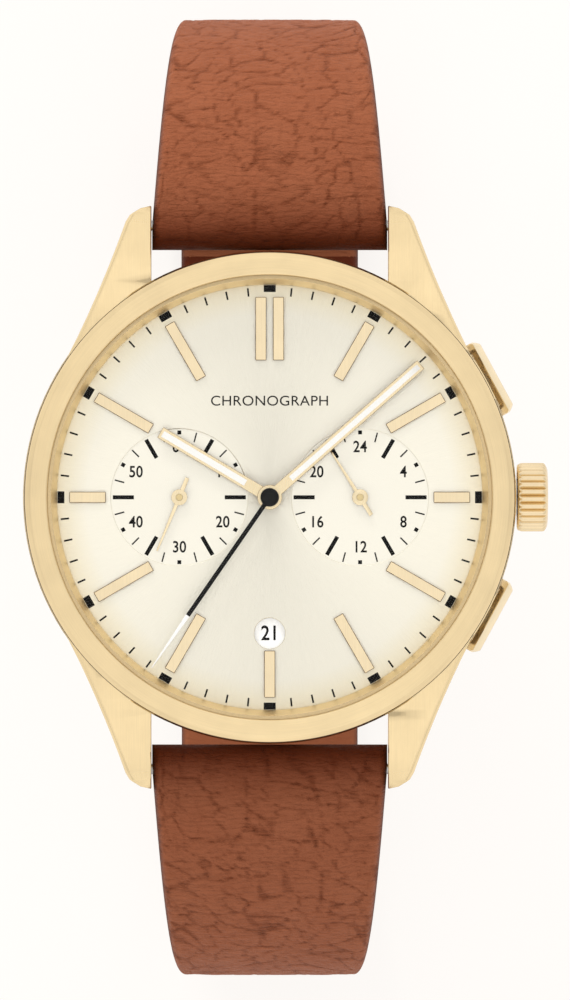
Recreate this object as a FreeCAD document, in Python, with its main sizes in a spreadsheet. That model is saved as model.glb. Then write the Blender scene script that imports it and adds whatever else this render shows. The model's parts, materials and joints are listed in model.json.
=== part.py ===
import FreeCAD, Part
import math
import os
import Sketcher

# A round chronograph wristwatch on a leather strap, in millimetres.
# The origin is the middle of the case back's outer face. +Z leaves through the dial, +Y points
# at 12 o'clock and +X at the crown. The strap loop hangs below the case and is open at the buckle.

os.makedirs("parts", exist_ok=True)
doc = FreeCAD.newDocument("Wristwatch")
sheet = doc.addObject("Spreadsheet::Sheet", "Sizes")
Vec = FreeCAD.Vector
xAxis, yAxis, zAxis = Vec(1, 0, 0), Vec(0, 1, 0), Vec(0, 0, 1)


class Size:
    """A length or an angle, held as a number and as the sheet formula that gives it."""

    def __init__(self, value, text=None):
        self.value = float(value)
        self.text = text

    def joined(self, other, sign, value):
        if self.text is None and other.text is None:
            return Size(value)
        left = self.text or "%.6f" % self.value
        right = other.text or "%.6f" % other.value
        return Size(value, "(%s %s %s)" % (left, sign, right))

    def __add__(self, other):
        other = asSize(other)
        return self.joined(other, "+", self.value + other.value)

    def __sub__(self, other):
        other = asSize(other)
        return self.joined(other, "-", self.value - other.value)

    def __mul__(self, other):
        other = asSize(other)
        return self.joined(other, "*", self.value * other.value)

    def __truediv__(self, other):
        other = asSize(other)
        return self.joined(other, "/", self.value / other.value)

    def __radd__(self, other):
        return asSize(other) + self

    def __rsub__(self, other):
        return asSize(other) - self

    def __rmul__(self, other):
        return asSize(other) * self

    def __neg__(self):
        return asSize(0) - self


def asSize(number):
    return number if isinstance(number, Size) else Size(number)


sizes = {}


def setSizes(table):
    """Writes each named number into the sheet and keeps it as a Size of the same name."""
    for name, number in table.items():
        row = len(sizes) + 1
        sheet.set("A%d" % row, name)
        sheet.set("B%d" % row, str(number))
        sheet.setAlias("B%d" % row, name)
        sizes[name] = Size(number, "Sizes." + name)


class Named:
    """Gives each size by its name, as in s.caseRadius."""

    def __getattr__(self, name):
        return sizes[name]


s = Named()

# Fits shared by many pieces
setSizes({
    "seatGap": 0.02, "runGap": 0.03, "softGap": 0.25,
})
# Case, bezel, crystal, dial and back
setSizes({
    "caseRadius": 21.05, "caseBottom": 1.2, "shoulderDrop": 0.5, "caseTop": 7.6, "caseBevel": 0.8,
    "shoulderWidth": 0.2, "boreRadius": 17.3, "dialSeat": 6.0, "dialBoreRadius": 18.92,
    "gasketStep": 0.5, "gasketHeight": 0.4, "bezelHeight": 2.0, "bezelEdge": 0.35,
    "crystalGasketWall": 0.27, "crystalSeat": 1.0, "crystalThick": 1.4, "crystalBevel": 0.3,
    "crystalGasketHeight": 0.8, "backOverlap": 1.6, "backPlate": 0.9, "backEdge": 0.6,
    "backRim": 0.8, "backRimWall": 0.85, "dialThick": 0.45, "dialMargin": 0.07,
    "flangeInner": 18.17, "flangeLip": 0.4, "flangeTopWall": 0.28,
    "lugReach": 3.93, "lugPlay": 0.16, "lugTipWidth": 1.85, "lugRootIn": 3.75, "lugRootY": 11.9,
    "lugFlank": 90.0, "lugTopStart": 12.0, "lugTop": 7.35, "lugTipTop": 3.7, "lugTipBottom": 1.5,
    "lugFoot": 0.5, "lugFootOut": 0.3, "lugRiseIn": 3.8, "lugTopCurve": 20.0, "barReach": 2.25,
})
# Dial furniture
setSizes({
    "subdialX": 7.72, "subdialRadius": 5.9, "subdialDepth": 0.12, "windowRadius": 1.36,
    "windowY": 11.62, "indexHeight": 0.35, "indexWidth": 0.93, "indexInner": 11.7,
    "indexOuter": 17.1, "indexSide": 14.0, "indexSix": 13.1, "twinSpacing": 1.5,
    "footRadius": 0.35, "footDepth": 0.5, "footRing": 14.4,
})
# Movement
setSizes({
    "holderWall": 1.8, "holderInner": 15.3, "plateThick": 0.6, "plateBottom": 4.9,
    "plateRimInner": 13.6, "bridgeBottom": 2.3, "bridgeThick": 0.6, "bridgeEdge": -3.6,
    "pillarRadius": 1.0, "screwRing": 13.4, "screwShank": 0.4, "screwHead": 0.8,
    "screwHeadHeight": 0.22, "screwReach": 2.9, "dateOuter": 13.4, "dateInner": 9.9,
    "dateThick": 0.3, "coverThick": 0.45, "coverMargin": 0.2, "motionX": 0.0, "motionY": 3.6,
    "motionWheel": 2.55, "motionPinion": 0.64, "cannonPinion": 0.95, "hourWheel": 2.86,
    "toothDepth": 0.16, "wheelThick": 0.16, "secondsArbor": 0.22, "cannonRadius": 0.5,
    "hourTube": 0.8, "centreWheel": 4.2, "thirdX": -2.8, "thirdY": 4.85, "thirdWheel": 3.0,
    "thirdPinion": 1.3, "rotorX": -6.2, "rotorY": 3.6, "rotorPinion": 0.5, "rotorMagnet": 1.0,
    "chronoWheel": 3.4, "counterWheel": 2.0, "counterArbor": 0.28, "smallArbor": 0.15,
    "layerGap": 0.04, "hourWheelThick": 0.14, "centreWheelLow": 4.35, "centreHub": 0.9,
    "thirdWheelLow": 3.72, "thirdPinionLow": 4.25, "thirdPinionTop": 4.7, "hubRadius": 0.4,
    "rotorPinionLow": 3.6, "rotorPinionTop": 4.05, "magnetLow": 2.98, "magnetTop": 3.5,
    "chronoWheelLow": 3.1, "chronoHub": 0.6, "counterWheelLow": 4.1, "counterHubRadius": 0.5,
    "pivotIn": 0.1, "clampWidth": 2.4, "clampLength": 9.0, "clampThick": 0.2, "boardLow": 4.35,
    "boardThick": 0.25, "chipSide": 3.0, "chipThick": 0.8, "quartzRadius": 0.75,
    "quartzLength": 5.5, "coilHeight": 3.92, "coreWidth": 0.8, "coreThick": 0.5,
    "statorLow": 3.05, "statorThick": 0.4, "statorLength": 6.0, "statorWidth": 3.2,
    "batteryX": 5.2, "batteryY": -8.9, "batteryRadius": 4.75, "batteryHeight": 2.1,
    "coilX": -8.3, "coilY": 8.0, "coilLength": 6.0, "coilRadius": 0.9, "coreLength": 8.4,
})
# Hands
setSizes({
    "handThick": 0.15, "lumeThick": 0.05, "hourAngle": 300.7, "hourLength": 10.85,
    "hourWidth": 1.02, "hourRise": 0.58, "minuteAngle": 48.7, "minuteLength": 17.15,
    "minuteWidth": 0.94, "minuteRise": 0.95, "handHub": 1.05, "lumeRoot": 2.4, "lumeMargin": 0.24,
    "secondsAngle": 214.7, "secondsLength": 17.7, "secondsWidth": 0.38, "secondsRise": 1.33,
    "secondsHub": 0.79, "leftAngle": 202.6, "rightAngle": 327.6, "counterLength": 4.95,
    "counterWidth": 0.32, "counterTail": 1.79, "counterTailWidth": 0.34, "counterHub": 0.68,
    "counterRise": 0.28,
})
# Crown and pushers
setSizes({
    "stemHeight": 4.2, "crownRadius": 2.95, "crownLength": 2.65, "crownGap": 0.1,
    "crownRound": 0.35, "fluteRadius": 0.3, "fluteDepth": 0.16, "fluteCount": 27,
    "tubeRadius": 1.5, "tubeBore": 1.0, "tubeStandOut": 0.55, "stemThin": 0.5, "stemStart": 9.9,
    "grooveX": 11.9, "grooveWidth": 0.7, "grooveRadius": 0.32, "leverThick": 0.5,
    "pinionLength": 1.4, "pinionRadius": 0.66, "pusherAngle": 28.5,
    "capWidth": 6.8, "capHeight": 3.2, "capStand": 1.05, "capSink": 0.2, "pushTravel": 0.8,
    "pushStem": 0.7, "pushTube": 1.5, "pushTip": 16.4, "pushClip": 0.2, "springWire": 0.2,
    "springRadius": 1.03,
})
# Strap, keepers and buckle
setSizes({
    "barZ": 2.5, "barRadius": 0.75, "barTip": 0.45, "barTipReach": 0.8,
    "rollRadius": 2.1, "strapWidth": 20.0, "strapNarrow": 16.0, "strapBow": 18.4,
    "strapSide": 3.4, "shortThick": 2.6, "longThick": 2.2, "strapFloor": -51.4,
    "shortCorner": 16.0, "longCorner": 20.0, "tipY": 9.5, "tipLength": 8.0, "tipCurve": 13.0,
    "taperEndZ": -20.0, "holeRadius": 0.9, "holePitch": 6.0, "holeStart": 4.0,
    "keeperWall": 1.0, "keeperWidth": 4.0, "keeperY": 22.7, "keeperRoom": 2.5,
    "keeperStart": 12.0, "buckleY": 18.8, "endRoll": 1.75, "buckleBar": 0.7, "slotWidth": 3.0,
    "frameRod": 1.75, "frameThick": 1.8, "frameReach": 8.6, "frameCorner": 2.0, "tongueWidth": 1.5,
    "tongueThick": 0.8, "tongueRing": 1.62,
})
doc.recompute()
# Places that several pieces share, worked out from the sizes above
caseShoulder = s.caseTop - s.shoulderDrop
crystalBottom = s.caseTop + s.crystalSeat
barY = s.caseRadius + s.barReach
lugTip = s.caseRadius + s.lugReach
lugGap = s.strapWidth + s.lugPlay * 2
capInner = s.caseRadius - s.capSink
capFace = s.caseRadius + s.capStand
strapReach = barY + s.strapBow
dialTop = s.dialSeat + s.seatGap + s.dialThick
counterHeight = dialTop + s.counterRise
hourHeight = dialTop + s.hourRise
minuteHeight = dialTop + s.minuteRise
secondsHeight = dialTop + s.secondsRise


def bind(target, path, size):
    """Sets a property to a size, tied to the sheet where the size comes from it."""
    size = asSize(size)
    if size.text is None:
        setattr(target, path, size.value)
    else:
        target.setExpression(path, size.text)


def originPlane(body, role):
    return [item for item in body.Origin.OriginFeatures if item.Role == role][0]


def arcBetween(first, last, radius, turn):
    """The short arc from first to last, with its middle to the left for turn +1."""
    chord = last - first
    half = chord.Length / 2
    rise = math.sqrt(max(radius * radius - half * half, 0))
    left = Vec(-chord.y, chord.x, 0).normalize()
    centre = (first + last) * 0.5 + left * (rise * turn)
    start, end = (first, last) if turn > 0 else (last, first)
    startAngle = math.atan2(start.y - centre.y, start.x - centre.x)
    endAngle = math.atan2(end.y - centre.y, end.x - centre.x)
    return Part.ArcOfCircle(Part.Circle(centre, zAxis, radius), startAngle, endAngle)


def tie(sketch, kind, *entries):
    """Adds one dimension to a sketch and ties it to the sheet."""
    size = asSize(entries[-1])
    index = sketch.addConstraint(Sketcher.Constraint(kind, *entries[:-1], size.value))
    if size.text is not None:
        sketch.setExpression("Constraints[%d]" % index, size.text)


def drawCircle(sketch, centre, radius):
    x, y = asSize(centre[0]), asSize(centre[1])
    circle = Part.Circle(Vec(x.value, y.value, 0), zAxis, asSize(radius).value)
    index = sketch.addGeometry(circle, False)
    tie(sketch, "DistanceX", -1, 1, index, 3, x)
    tie(sketch, "DistanceY", -1, 1, index, 3, y)
    tie(sketch, "Radius", index, radius)


def drawLoop(sketch, points):
    """A closed loop. A point is (x, y), or (x, y, radius, turn) where an arc leaves it."""
    places = [Vec(asSize(point[0]).value, asSize(point[1]).value, 0) for point in points]
    edges = []
    for index, point in enumerate(points):
        first, last = places[index], places[(index + 1) % len(points)]
        if len(point) == 4:
            edge = arcBetween(first, last, asSize(point[2]).value, point[3])
            ends = (1, 2) if point[3] > 0 else (2, 1)
        else:
            edge = Part.LineSegment(first, last)
            ends = (1, 2)
        edges.append((sketch.addGeometry(edge, False), ends))
    for index, point in enumerate(points):
        geometry, ends = edges[index]
        before, beforeEnds = edges[index - 1]
        sketch.addConstraint(
            Sketcher.Constraint("Coincident", before, beforeEnds[1], geometry, ends[0]))
        tie(sketch, "DistanceX", -1, 1, geometry, ends[0], point[0])
        tie(sketch, "DistanceY", -1, 1, geometry, ends[0], point[1])
        if len(point) == 4:
            tie(sketch, "Radius", geometry, point[2])


def newBody(label):
    body = doc.addObject("PartDesign::Body", "Body")
    body.Label = label
    body.AllowCompound = True
    return body


def sketchOn(body, role, loops=(), circles=(), offset=0):
    sketch = body.newObject("Sketcher::SketchObject", "Sketch")
    sketch.AttachmentSupport = [(originPlane(body, role), "")]
    sketch.MapMode = "FlatFace"
    offset = asSize(offset)
    if offset.text is None:
        sketch.AttachmentOffset = FreeCAD.Placement(Vec(0, 0, offset.value), FreeCAD.Rotation())
    else:
        sketch.setExpression("AttachmentOffset.Base.z", offset.text)
    for loop in loops:
        drawLoop(sketch, loop)
    for centre, radius in circles:
        drawCircle(sketch, centre, radius)
    return sketch


def revolve(body, profile, angle=360):
    sketch = sketchOn(body, "XZ_Plane", [profile])
    feature = body.newObject("PartDesign::Revolution", "Revolution")
    feature.Profile = sketch
    feature.ReferenceAxis = (sketch, ["V_Axis"])
    bind(feature, "Angle", angle)
    return feature


def pad(body, sketch, length, symmetric=False):
    feature = body.newObject("PartDesign::Pad", "Pad")
    feature.Profile = sketch
    if symmetric:
        feature.SideType = "Symmetric"
    bind(feature, "Length", length)
    return feature


throughLength = 400


def cutThrough(body, sketch):
    """Cuts a sketch's outline right through the body, both ways from the sketch."""
    doc.recompute()
    before = body.Shape.Volume
    feature = body.newObject("PartDesign::Pocket", "Pocket")
    feature.Profile = sketch
    feature.SideType = "Symmetric"
    feature.Length = throughLength
    doc.recompute()
    if not body.Shape.Volume < before:
        raise RuntimeError("a pocket cut nothing in " + body.Label)
    return feature


def turned(label, profile):
    body = newBody(label)
    revolve(body, profile)
    return body


def ring(label, inner, outer, low, high):
    return turned(label, [(inner, low), (outer, low), (outer, high), (inner, high)])


def outward(angle, height):
    """A placement whose local Z runs out along a radius at this angle from 3 o'clock."""
    turn = FreeCAD.Rotation(zAxis, asSize(angle).value) * FreeCAD.Rotation(yAxis, 90)
    return FreeCAD.Placement(Vec(0, 0, asSize(height).value), turn)


def clockwise(angle, x=0, y=0, z=0):
    """A placement that turns a hand drawn towards 12 o'clock to its own angle."""
    spot = Vec(asSize(x).value, asSize(y).value, asSize(z).value)
    return FreeCAD.Placement(spot, FreeCAD.Rotation(zAxis, -asSize(angle).value))


def joined(kind, label, members):
    feature = doc.addObject(kind, "Joined")
    feature.Shapes = members
    feature.Label = label
    return feature


def cutFrom(label, base, tool):
    feature = doc.addObject("Part::Cut", "Cut")
    feature.Base = base
    feature.Tool = tool
    feature.Label = label
    return feature


def rod(radius, low, high, x=0, y=0, placement=None):
    """A plain cylinder between two heights, or along the local Z of a placement."""
    feature = doc.addObject("Part::Cylinder", "Rod")
    low, high = asSize(low), asSize(high)
    bind(feature, "Radius", radius)
    bind(feature, "Height", high - low)
    if placement is None:
        feature.Placement.Base = Vec(asSize(x).value, asSize(y).value, low.value)
        for axis, size in (("x", asSize(x)), ("y", asSize(y)), ("z", low)):
            if size.text is not None:
                feature.setExpression("Placement.Base." + axis, size.text)
    else:
        along = FreeCAD.Placement(Vec(0, 0, low.value), FreeCAD.Rotation())
        feature.Placement = placement.multiply(along)
    return feature


def block(lengths, corner, placement=None):
    """A plain box with its low corner at a point, both in the placement's own frame."""
    feature = doc.addObject("Part::Box", "Block")
    for name, size in zip(("Length", "Width", "Height"), lengths):
        bind(feature, name, size)
    spot = Vec(*[asSize(value).value for value in corner])
    base = FreeCAD.Placement(spot, FreeCAD.Rotation())
    feature.Placement = placement.multiply(base) if placement else base
    return feature


nodes = []


def keep(piece, placement=None):
    """Names a finished piece as a sub-part, with its placement."""
    if placement is not None:
        piece.Placement = placement
    nodes.append(piece)
    return piece


# ---- Case -----------------------------------------------------------------------------------

caseRing = turned("case_ring", [
    (s.boreRadius, s.caseBottom + s.gasketHeight), (s.boreRadius + s.gasketStep,
                                                    s.caseBottom + s.gasketHeight),
    (s.boreRadius + s.gasketStep, s.caseBottom), (s.caseRadius - s.caseBevel, s.caseBottom),
    (s.caseRadius, s.caseBottom + s.caseBevel), (s.caseRadius, caseShoulder),
    (s.caseRadius - s.shoulderWidth, caseShoulder + s.shoulderWidth),
    (s.caseRadius - s.shoulderWidth, s.caseTop), (s.dialBoreRadius, s.caseTop),
    (s.dialBoreRadius, s.dialSeat), (s.boreRadius, s.dialSeat)])


def lugOutline(signX, signY):
    """One lug seen from above, from inside the case wall out to its rounded tip."""
    inner = lugGap / 2
    outer = inner + s.lugTipWidth
    points = [
        (inner, s.lugRootY), (inner, lugTip), (inner + 0.9, lugTip - 0.2), (outer, lugTip - 0.8),
        (outer + 0.35, lugTip - 1.4, s.lugFlank, 1), (s.caseRadius - s.lugRootIn, s.lugRootY)]
    # Mirroring one way turns the loop over, so the arc's middle changes side with it.
    side = signX * signY
    outline = []
    for point in points:
        place = (signX * asSize(point[0]), signY * asSize(point[1]))
        outline.append(place + (point[2], side) if len(point) == 4 else place)
    return outline


lugSigns = [(1, 1), (-1, 1), (-1, -1), (1, -1)]
lugPlan = newBody("lug_plan")
pad(lugPlan, sketchOn(lugPlan, "XY_Plane", [lugOutline(*signs) for signs in lugSigns]), s.caseTop)
lugSide = newBody("lug_side")


def lugSilhouette(sign):
    points = [
        (0, s.caseBottom), (barY - s.lugRiseIn, s.caseBottom), (barY + s.lugFootOut, s.lugFoot),
        (lugTip, s.lugTipBottom), (lugTip + 0.1, s.lugTipTop, s.lugTopCurve, 1),
        (s.lugTopStart, s.lugTop), (0, s.lugTop)]
    outline = []
    for point in points:
        place = (sign * asSize(point[0]), point[1])
        outline.append(place + (point[2], sign * point[3]) if len(point) == 4 else place)
    return outline


for sign in (1, -1):
    pad(lugSide, sketchOn(lugSide, "YZ_Plane", [lugSilhouette(sign)]), 2 * s.caseRadius, True)
lugs = joined("Part::MultiCommon", "lugs", [lugPlan, lugSide])
caseSolid = joined("Part::MultiFuse", "case_solid", [caseRing, lugs])

crownPlace = outward(0, s.stemHeight)
pusherPlaces = {"start": outward(s.pusherAngle, s.stemHeight),
                "reset": outward(-s.pusherAngle, s.stemHeight)}
recessFloor = capInner - s.pushTravel - s.seatGap * 5
cutTools = [
    rod(s.boreRadius, 0, s.caseTop),
    rod(s.boreRadius + s.gasketStep, 0, s.caseBottom + s.gasketHeight),
    rod(s.dialBoreRadius, s.dialSeat, s.caseTop + 1),
    rod(s.tubeRadius + s.seatGap, s.holderInner, s.caseRadius + 1, placement=crownPlace),
]
for place in pusherPlaces.values():
    cutTools.append(rod(s.pushTube + s.seatGap, s.holderInner, s.caseRadius, placement=place))
    room = s.seatGap * 5
    cutTools.append(block(
        (s.capHeight + room * 2, s.capWidth + room * 2, 5),
        (-s.capHeight / 2 - room, -s.capWidth / 2 - room, recessFloor), place))
barPlaces = {}
for name, sign in (("12", 1), ("6", -1)):
    spot = Vec(0, sign * barY.value, s.barZ.value)
    barPlaces[name] = FreeCAD.Placement(spot, FreeCAD.Rotation(yAxis, 90))
    reach = lugGap / 2 + s.barTipReach + s.seatGap
    cutTools.append(rod(s.barTip + s.seatGap, -reach, reach, placement=barPlaces[name]))
keep(cutFrom("mid_case", caseSolid, joined("Part::MultiFuse", "case_cuts", cutTools)))

bezelOuter = s.caseRadius - s.shoulderWidth
bezelTop = s.caseTop + s.bezelHeight
keep(turned("bezel", [
    (s.dialBoreRadius, s.caseTop), (bezelOuter, s.caseTop), (bezelOuter, bezelTop - s.bezelEdge),
    (bezelOuter - s.bezelEdge, bezelTop - s.bezelEdge / 3), (s.dialBoreRadius + 0.15, bezelTop),
    (s.dialBoreRadius, bezelTop - 0.15)]))
crystalRadius = s.dialBoreRadius - s.crystalGasketWall - s.seatGap
crystalTop = crystalBottom + s.crystalThick
keep(turned("crystal", [
    (0, crystalBottom), (crystalRadius, crystalBottom),
    (crystalRadius, crystalTop - s.crystalBevel * 1.2),
    (crystalRadius - s.crystalBevel, crystalTop - s.crystalBevel * 0.4), (0, crystalTop)]))
keep(ring("crystal_gasket", crystalRadius + s.seatGap / 2, s.dialBoreRadius - s.seatGap / 2,
          crystalBottom, crystalBottom + s.crystalGasketHeight))
flangeTop = crystalBottom - s.seatGap
flangeBottom = dialTop + s.seatGap
flangeOuter = s.dialBoreRadius - s.seatGap
keep(turned("flange_ring", [
    (s.flangeInner, flangeBottom), (flangeOuter, flangeBottom), (flangeOuter, flangeTop),
    (flangeOuter - s.flangeTopWall, flangeTop), (s.flangeInner, flangeBottom + s.flangeLip)]))

backInner = s.boreRadius - s.seatGap
backTop = s.caseBottom - s.seatGap
keep(turned("case_back", [
    (0, 0), (s.boreRadius - 0.8, 0), (s.boreRadius + s.backOverlap, s.backEdge),
    (s.boreRadius + s.backOverlap, backTop), (backInner, backTop),
    (backInner, backTop + s.backRim), (backInner - s.backRimWall, backTop + s.backRim),
    (backInner - s.backRimWall, s.backPlate), (0, s.backPlate)]))
keep(ring("case_back_gasket", s.boreRadius + s.seatGap, s.boreRadius + s.gasketStep - s.seatGap,
          backTop + s.seatGap / 2, s.caseBottom + s.gasketHeight - s.seatGap))

# ---- Dial -----------------------------------------------------------------------------------

dialBottom = s.dialSeat + s.seatGap
dial = newBody("dial")
footAngles = (40, 220)
footSpots = [(s.footRing * math.cos(math.radians(angle)), s.footRing * math.sin(math.radians(angle)))
             for angle in footAngles]
pad(dial, sketchOn(dial, "XY_Plane", circles=[((0, 0), s.dialBoreRadius - s.dialMargin)],
                   offset=dialBottom), s.dialThick)
pad(dial, sketchOn(dial, "XY_Plane", circles=[(spot, s.footRadius) for spot in footSpots],
                   offset=dialBottom - s.footDepth), s.footDepth)
subdialSpots = [(-s.subdialX, 0), (s.subdialX, 0)]
recess = dial.newObject("PartDesign::Pocket", "Recess")
recess.Profile = sketchOn(dial, "XY_Plane", circles=[(spot, s.subdialRadius) for spot in subdialSpots],
                          offset=dialTop)
bind(recess, "Length", s.subdialDepth)
doc.recompute()
cutThrough(dial, sketchOn(dial, "XY_Plane", circles=[
    ((0, 0), s.hourTube + s.runGap * 3), (subdialSpots[0], s.counterArbor + s.runGap * 2),
    (subdialSpots[1], s.counterArbor + s.runGap * 2), ((0, -s.windowY), s.windowRadius)]))
keep(dial)


def barOutline(degrees, inner, outer, shift=0):
    """A baton along the radius at an angle clockwise from 12, moved sideways by shift."""
    sine, cosine = math.sin(math.radians(degrees)), math.cos(math.radians(degrees))
    outline = []
    for radius, side in ((inner, -0.5), (inner, 0.5), (outer, 0.5), (outer, -0.5)):
        across = s.indexWidth * side + shift
        outline.append((radius * sine + across * cosine, radius * cosine - across * sine))
    return outline


batons = [barOutline(30 * hour, s.indexInner, s.indexOuter) for hour in (1, 2, 4, 5, 7, 8, 10, 11)]
batons += [barOutline(30 * hour, s.indexSide, s.indexOuter) for hour in (3, 9)]
batons.append(barOutline(180, s.indexSix, s.indexOuter))
batons += [barOutline(0, s.indexInner, s.indexOuter, s.twinSpacing / 2 * side) for side in (-1, 1)]
indices = newBody("hour_indices")
pad(indices, sketchOn(indices, "XY_Plane", batons, offset=dialTop), s.indexHeight)
keep(indices)

# ---- Movement -------------------------------------------------------------------------------

plateTop = s.plateBottom + s.plateThick
holderOuter = s.holderInner + s.holderWall
holderBottom = backTop + s.backRim + s.seatGap
holder = ring("holder_ring", s.holderInner, holderOuter, holderBottom, s.dialSeat - s.seatGap)
holderCuts = [rod(s.tubeBore + s.runGap, s.holderInner - 1, s.boreRadius, placement=crownPlace)]
for place in pusherPlaces.values():
    holderCuts.append(rod(s.pushTube, s.holderInner - 1, s.boreRadius, placement=place))
keep(cutFrom("movement_holder", holder, joined("Part::MultiFuse", "holder_cuts", holderCuts)))

plateRadius = s.holderInner - s.seatGap
screwSpots = [(s.screwRing * math.cos(math.radians(angle)), s.screwRing * math.sin(math.radians(angle)))
              for angle in (22, 90, 165)]
bridgeTop = s.bridgeBottom + s.bridgeThick
plate = newBody("main_plate")
pad(plate, sketchOn(plate, "XY_Plane", circles=[((0, 0), plateRadius)], offset=s.plateBottom),
    s.plateThick)
pad(plate, sketchOn(plate, "XY_Plane", circles=[((0, 0), plateRadius), ((0, 0), s.plateRimInner)],
                    offset=plateTop), s.dialSeat - s.seatGap - plateTop)
pad(plate, sketchOn(plate, "XY_Plane", circles=[(spot, s.pillarRadius) for spot in screwSpots],
                    offset=bridgeTop + s.seatGap), s.plateBottom - bridgeTop - s.seatGap)
counterHole = s.counterArbor + s.runGap
plateHoles = [((0, 0), s.cannonRadius + s.runGap), (subdialSpots[0], counterHole),
              (subdialSpots[1], counterHole), ((s.thirdX, s.thirdY), s.smallArbor + s.runGap),
              ((s.rotorX, s.rotorY), s.smallArbor + s.runGap)]
plateHoles += [(spot, s.footRadius + s.seatGap) for spot in footSpots]
plateHoles += [(spot, s.screwShank + s.seatGap) for spot in screwSpots]
cutThrough(plate, sketchOn(plate, "XY_Plane", circles=plateHoles))
keep(plate)

bridgeRadius = plateRadius - 0.3
bridge = newBody("train_bridge")
pad(bridge, sketchOn(bridge, "XY_Plane", circles=[((0, 0), bridgeRadius)], offset=s.bridgeBottom),
    s.bridgeThick)
cutThrough(bridge, sketchOn(bridge, "XY_Plane", [[
    (-s.caseRadius, -s.caseRadius), (s.caseRadius, -s.caseRadius), (s.caseRadius, s.bridgeEdge),
    (-s.caseRadius, s.bridgeEdge)]]))
bridgeHoles = [((0, 0), s.secondsArbor + s.runGap), (subdialSpots[0], counterHole),
               (subdialSpots[1], counterHole), ((s.thirdX, s.thirdY), s.smallArbor + s.runGap),
               ((s.rotorX, s.rotorY), s.smallArbor + s.runGap)]
bridgeHoles += [(spot, s.screwShank + s.seatGap) for spot in screwSpots]
cutThrough(bridge, sketchOn(bridge, "XY_Plane", circles=bridgeHoles))
keep(bridge)

screws = []
for x, y in screwSpots:
    screws.append(rod(s.screwShank, s.bridgeBottom, s.bridgeBottom + s.screwReach, x, y))
    screws.append(rod(s.screwHead, s.bridgeBottom - s.screwHeadHeight, s.bridgeBottom, x, y))
keep(joined("Part::MultiFuse", "bridge_screws", screws))


def toothed(radius, low, high):
    """A wheel disc with pointed teeth round its rim, its tips on the radius given."""
    tip, depth = asSize(radius).value, s.toothDepth.value
    count = max(8, round(2 * math.pi * tip / (1.6 * depth)))
    corners = []
    for step in range(2 * count):
        reach = tip if step % 2 == 0 else tip - depth
        angle = math.pi * step / count
        corners.append(Vec(reach * math.cos(angle), reach * math.sin(angle), asSize(low).value))
    face = Part.Face(Part.makePolygon(corners + corners[:1]))
    return face.extrude(Vec(0, 0, asSize(high).value - asSize(low).value))


def column(radius, low, high):
    low, high = asSize(low).value, asSize(high).value
    return Part.makeCylinder(asSize(radius).value, high - low, Vec(0, 0, low))


def wheelPiece(label, solids, bore=0, x=0, y=0):
    """A toothed wheel with its pinion and arbor, as one solid on its own axis."""
    shape = solids[0].multiFuse(solids[1:]).removeSplitter()
    if asSize(bore).value:
        shape = shape.cut(column(bore, 0, crystalTop))
    feature = doc.addObject("Part::Feature", "Wheel")
    feature.Label = label
    feature.Shape = shape
    keep(feature, FreeCAD.Placement(Vec(asSize(x).value, asSize(y).value, 0), FreeCAD.Rotation()))


motionLow = plateTop + s.layerGap
motionHigh = motionLow + s.wheelThick
hourLow = motionHigh + s.layerGap
centreLow = s.centreWheelLow - s.wheelThick * 2
pivotLow, pivotHigh = s.bridgeBottom + s.pivotIn, plateTop - s.pivotIn
wheelPiece("minute_wheel", [
    toothed(s.centreWheel, s.centreWheelLow, s.centreWheelLow + s.wheelThick),
    column(s.centreHub, centreLow, s.plateBottom - s.layerGap),
    toothed(s.cannonPinion, motionLow, motionHigh),
    column(s.cannonRadius, centreLow, minuteHeight + s.handThick)], bore=s.secondsArbor + s.runGap)
wheelPiece("hour_wheel", [
    toothed(s.hourWheel, hourLow, hourLow + s.hourWheelThick),
    column(s.hourTube, hourLow, hourHeight + s.handThick)], bore=s.cannonRadius + s.runGap)
wheelPiece("motion_wheel", [
    toothed(s.motionWheel, motionLow, motionHigh),
    toothed(s.motionPinion, motionHigh - s.seatGap, hourLow + s.hourWheelThick + s.seatGap)],
    x=s.motionX, y=s.motionY)
wheelPiece("third_wheel", [
    toothed(s.thirdPinion, s.thirdPinionLow, s.thirdPinionTop),
    toothed(s.thirdWheel, s.thirdWheelLow, s.thirdWheelLow + s.wheelThick),
    column(s.smallArbor, pivotLow, pivotHigh),
    column(s.hubRadius, s.thirdWheelLow - s.hubRadius, s.thirdPinionTop + s.pivotIn)],
    x=s.thirdX, y=s.thirdY)
wheelPiece("motor_rotor", [
    toothed(s.rotorPinion, s.rotorPinionLow, s.rotorPinionTop),
    column(s.rotorMagnet, s.magnetLow, s.magnetTop), column(s.smallArbor, pivotLow, pivotHigh),
    column(s.smallArbor * 2, s.magnetLow, s.rotorPinionTop + s.rotorPinion)],
    x=s.rotorX, y=s.rotorY)
wheelPiece("chronograph_wheel", [
    toothed(s.chronoWheel, s.chronoWheelLow, s.chronoWheelLow + s.wheelThick),
    column(s.chronoHub, s.chronoWheelLow - s.pivotIn, s.chronoWheelLow + s.counterHubRadius),
    column(s.secondsArbor, pivotLow, secondsHeight + s.handThick)])
for label, x in (("minute_counter_wheel", -s.subdialX), ("day_counter_wheel", s.subdialX)):
    wheelPiece(label, [
        toothed(s.counterWheel, s.counterWheelLow, s.counterWheelLow + s.wheelThick),
        column(s.counterArbor, pivotLow, counterHeight + s.handThick),
        column(s.counterHubRadius, s.counterWheelLow - s.counterHubRadius,
               s.counterWheelLow + s.counterHubRadius)], x=x)

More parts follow.
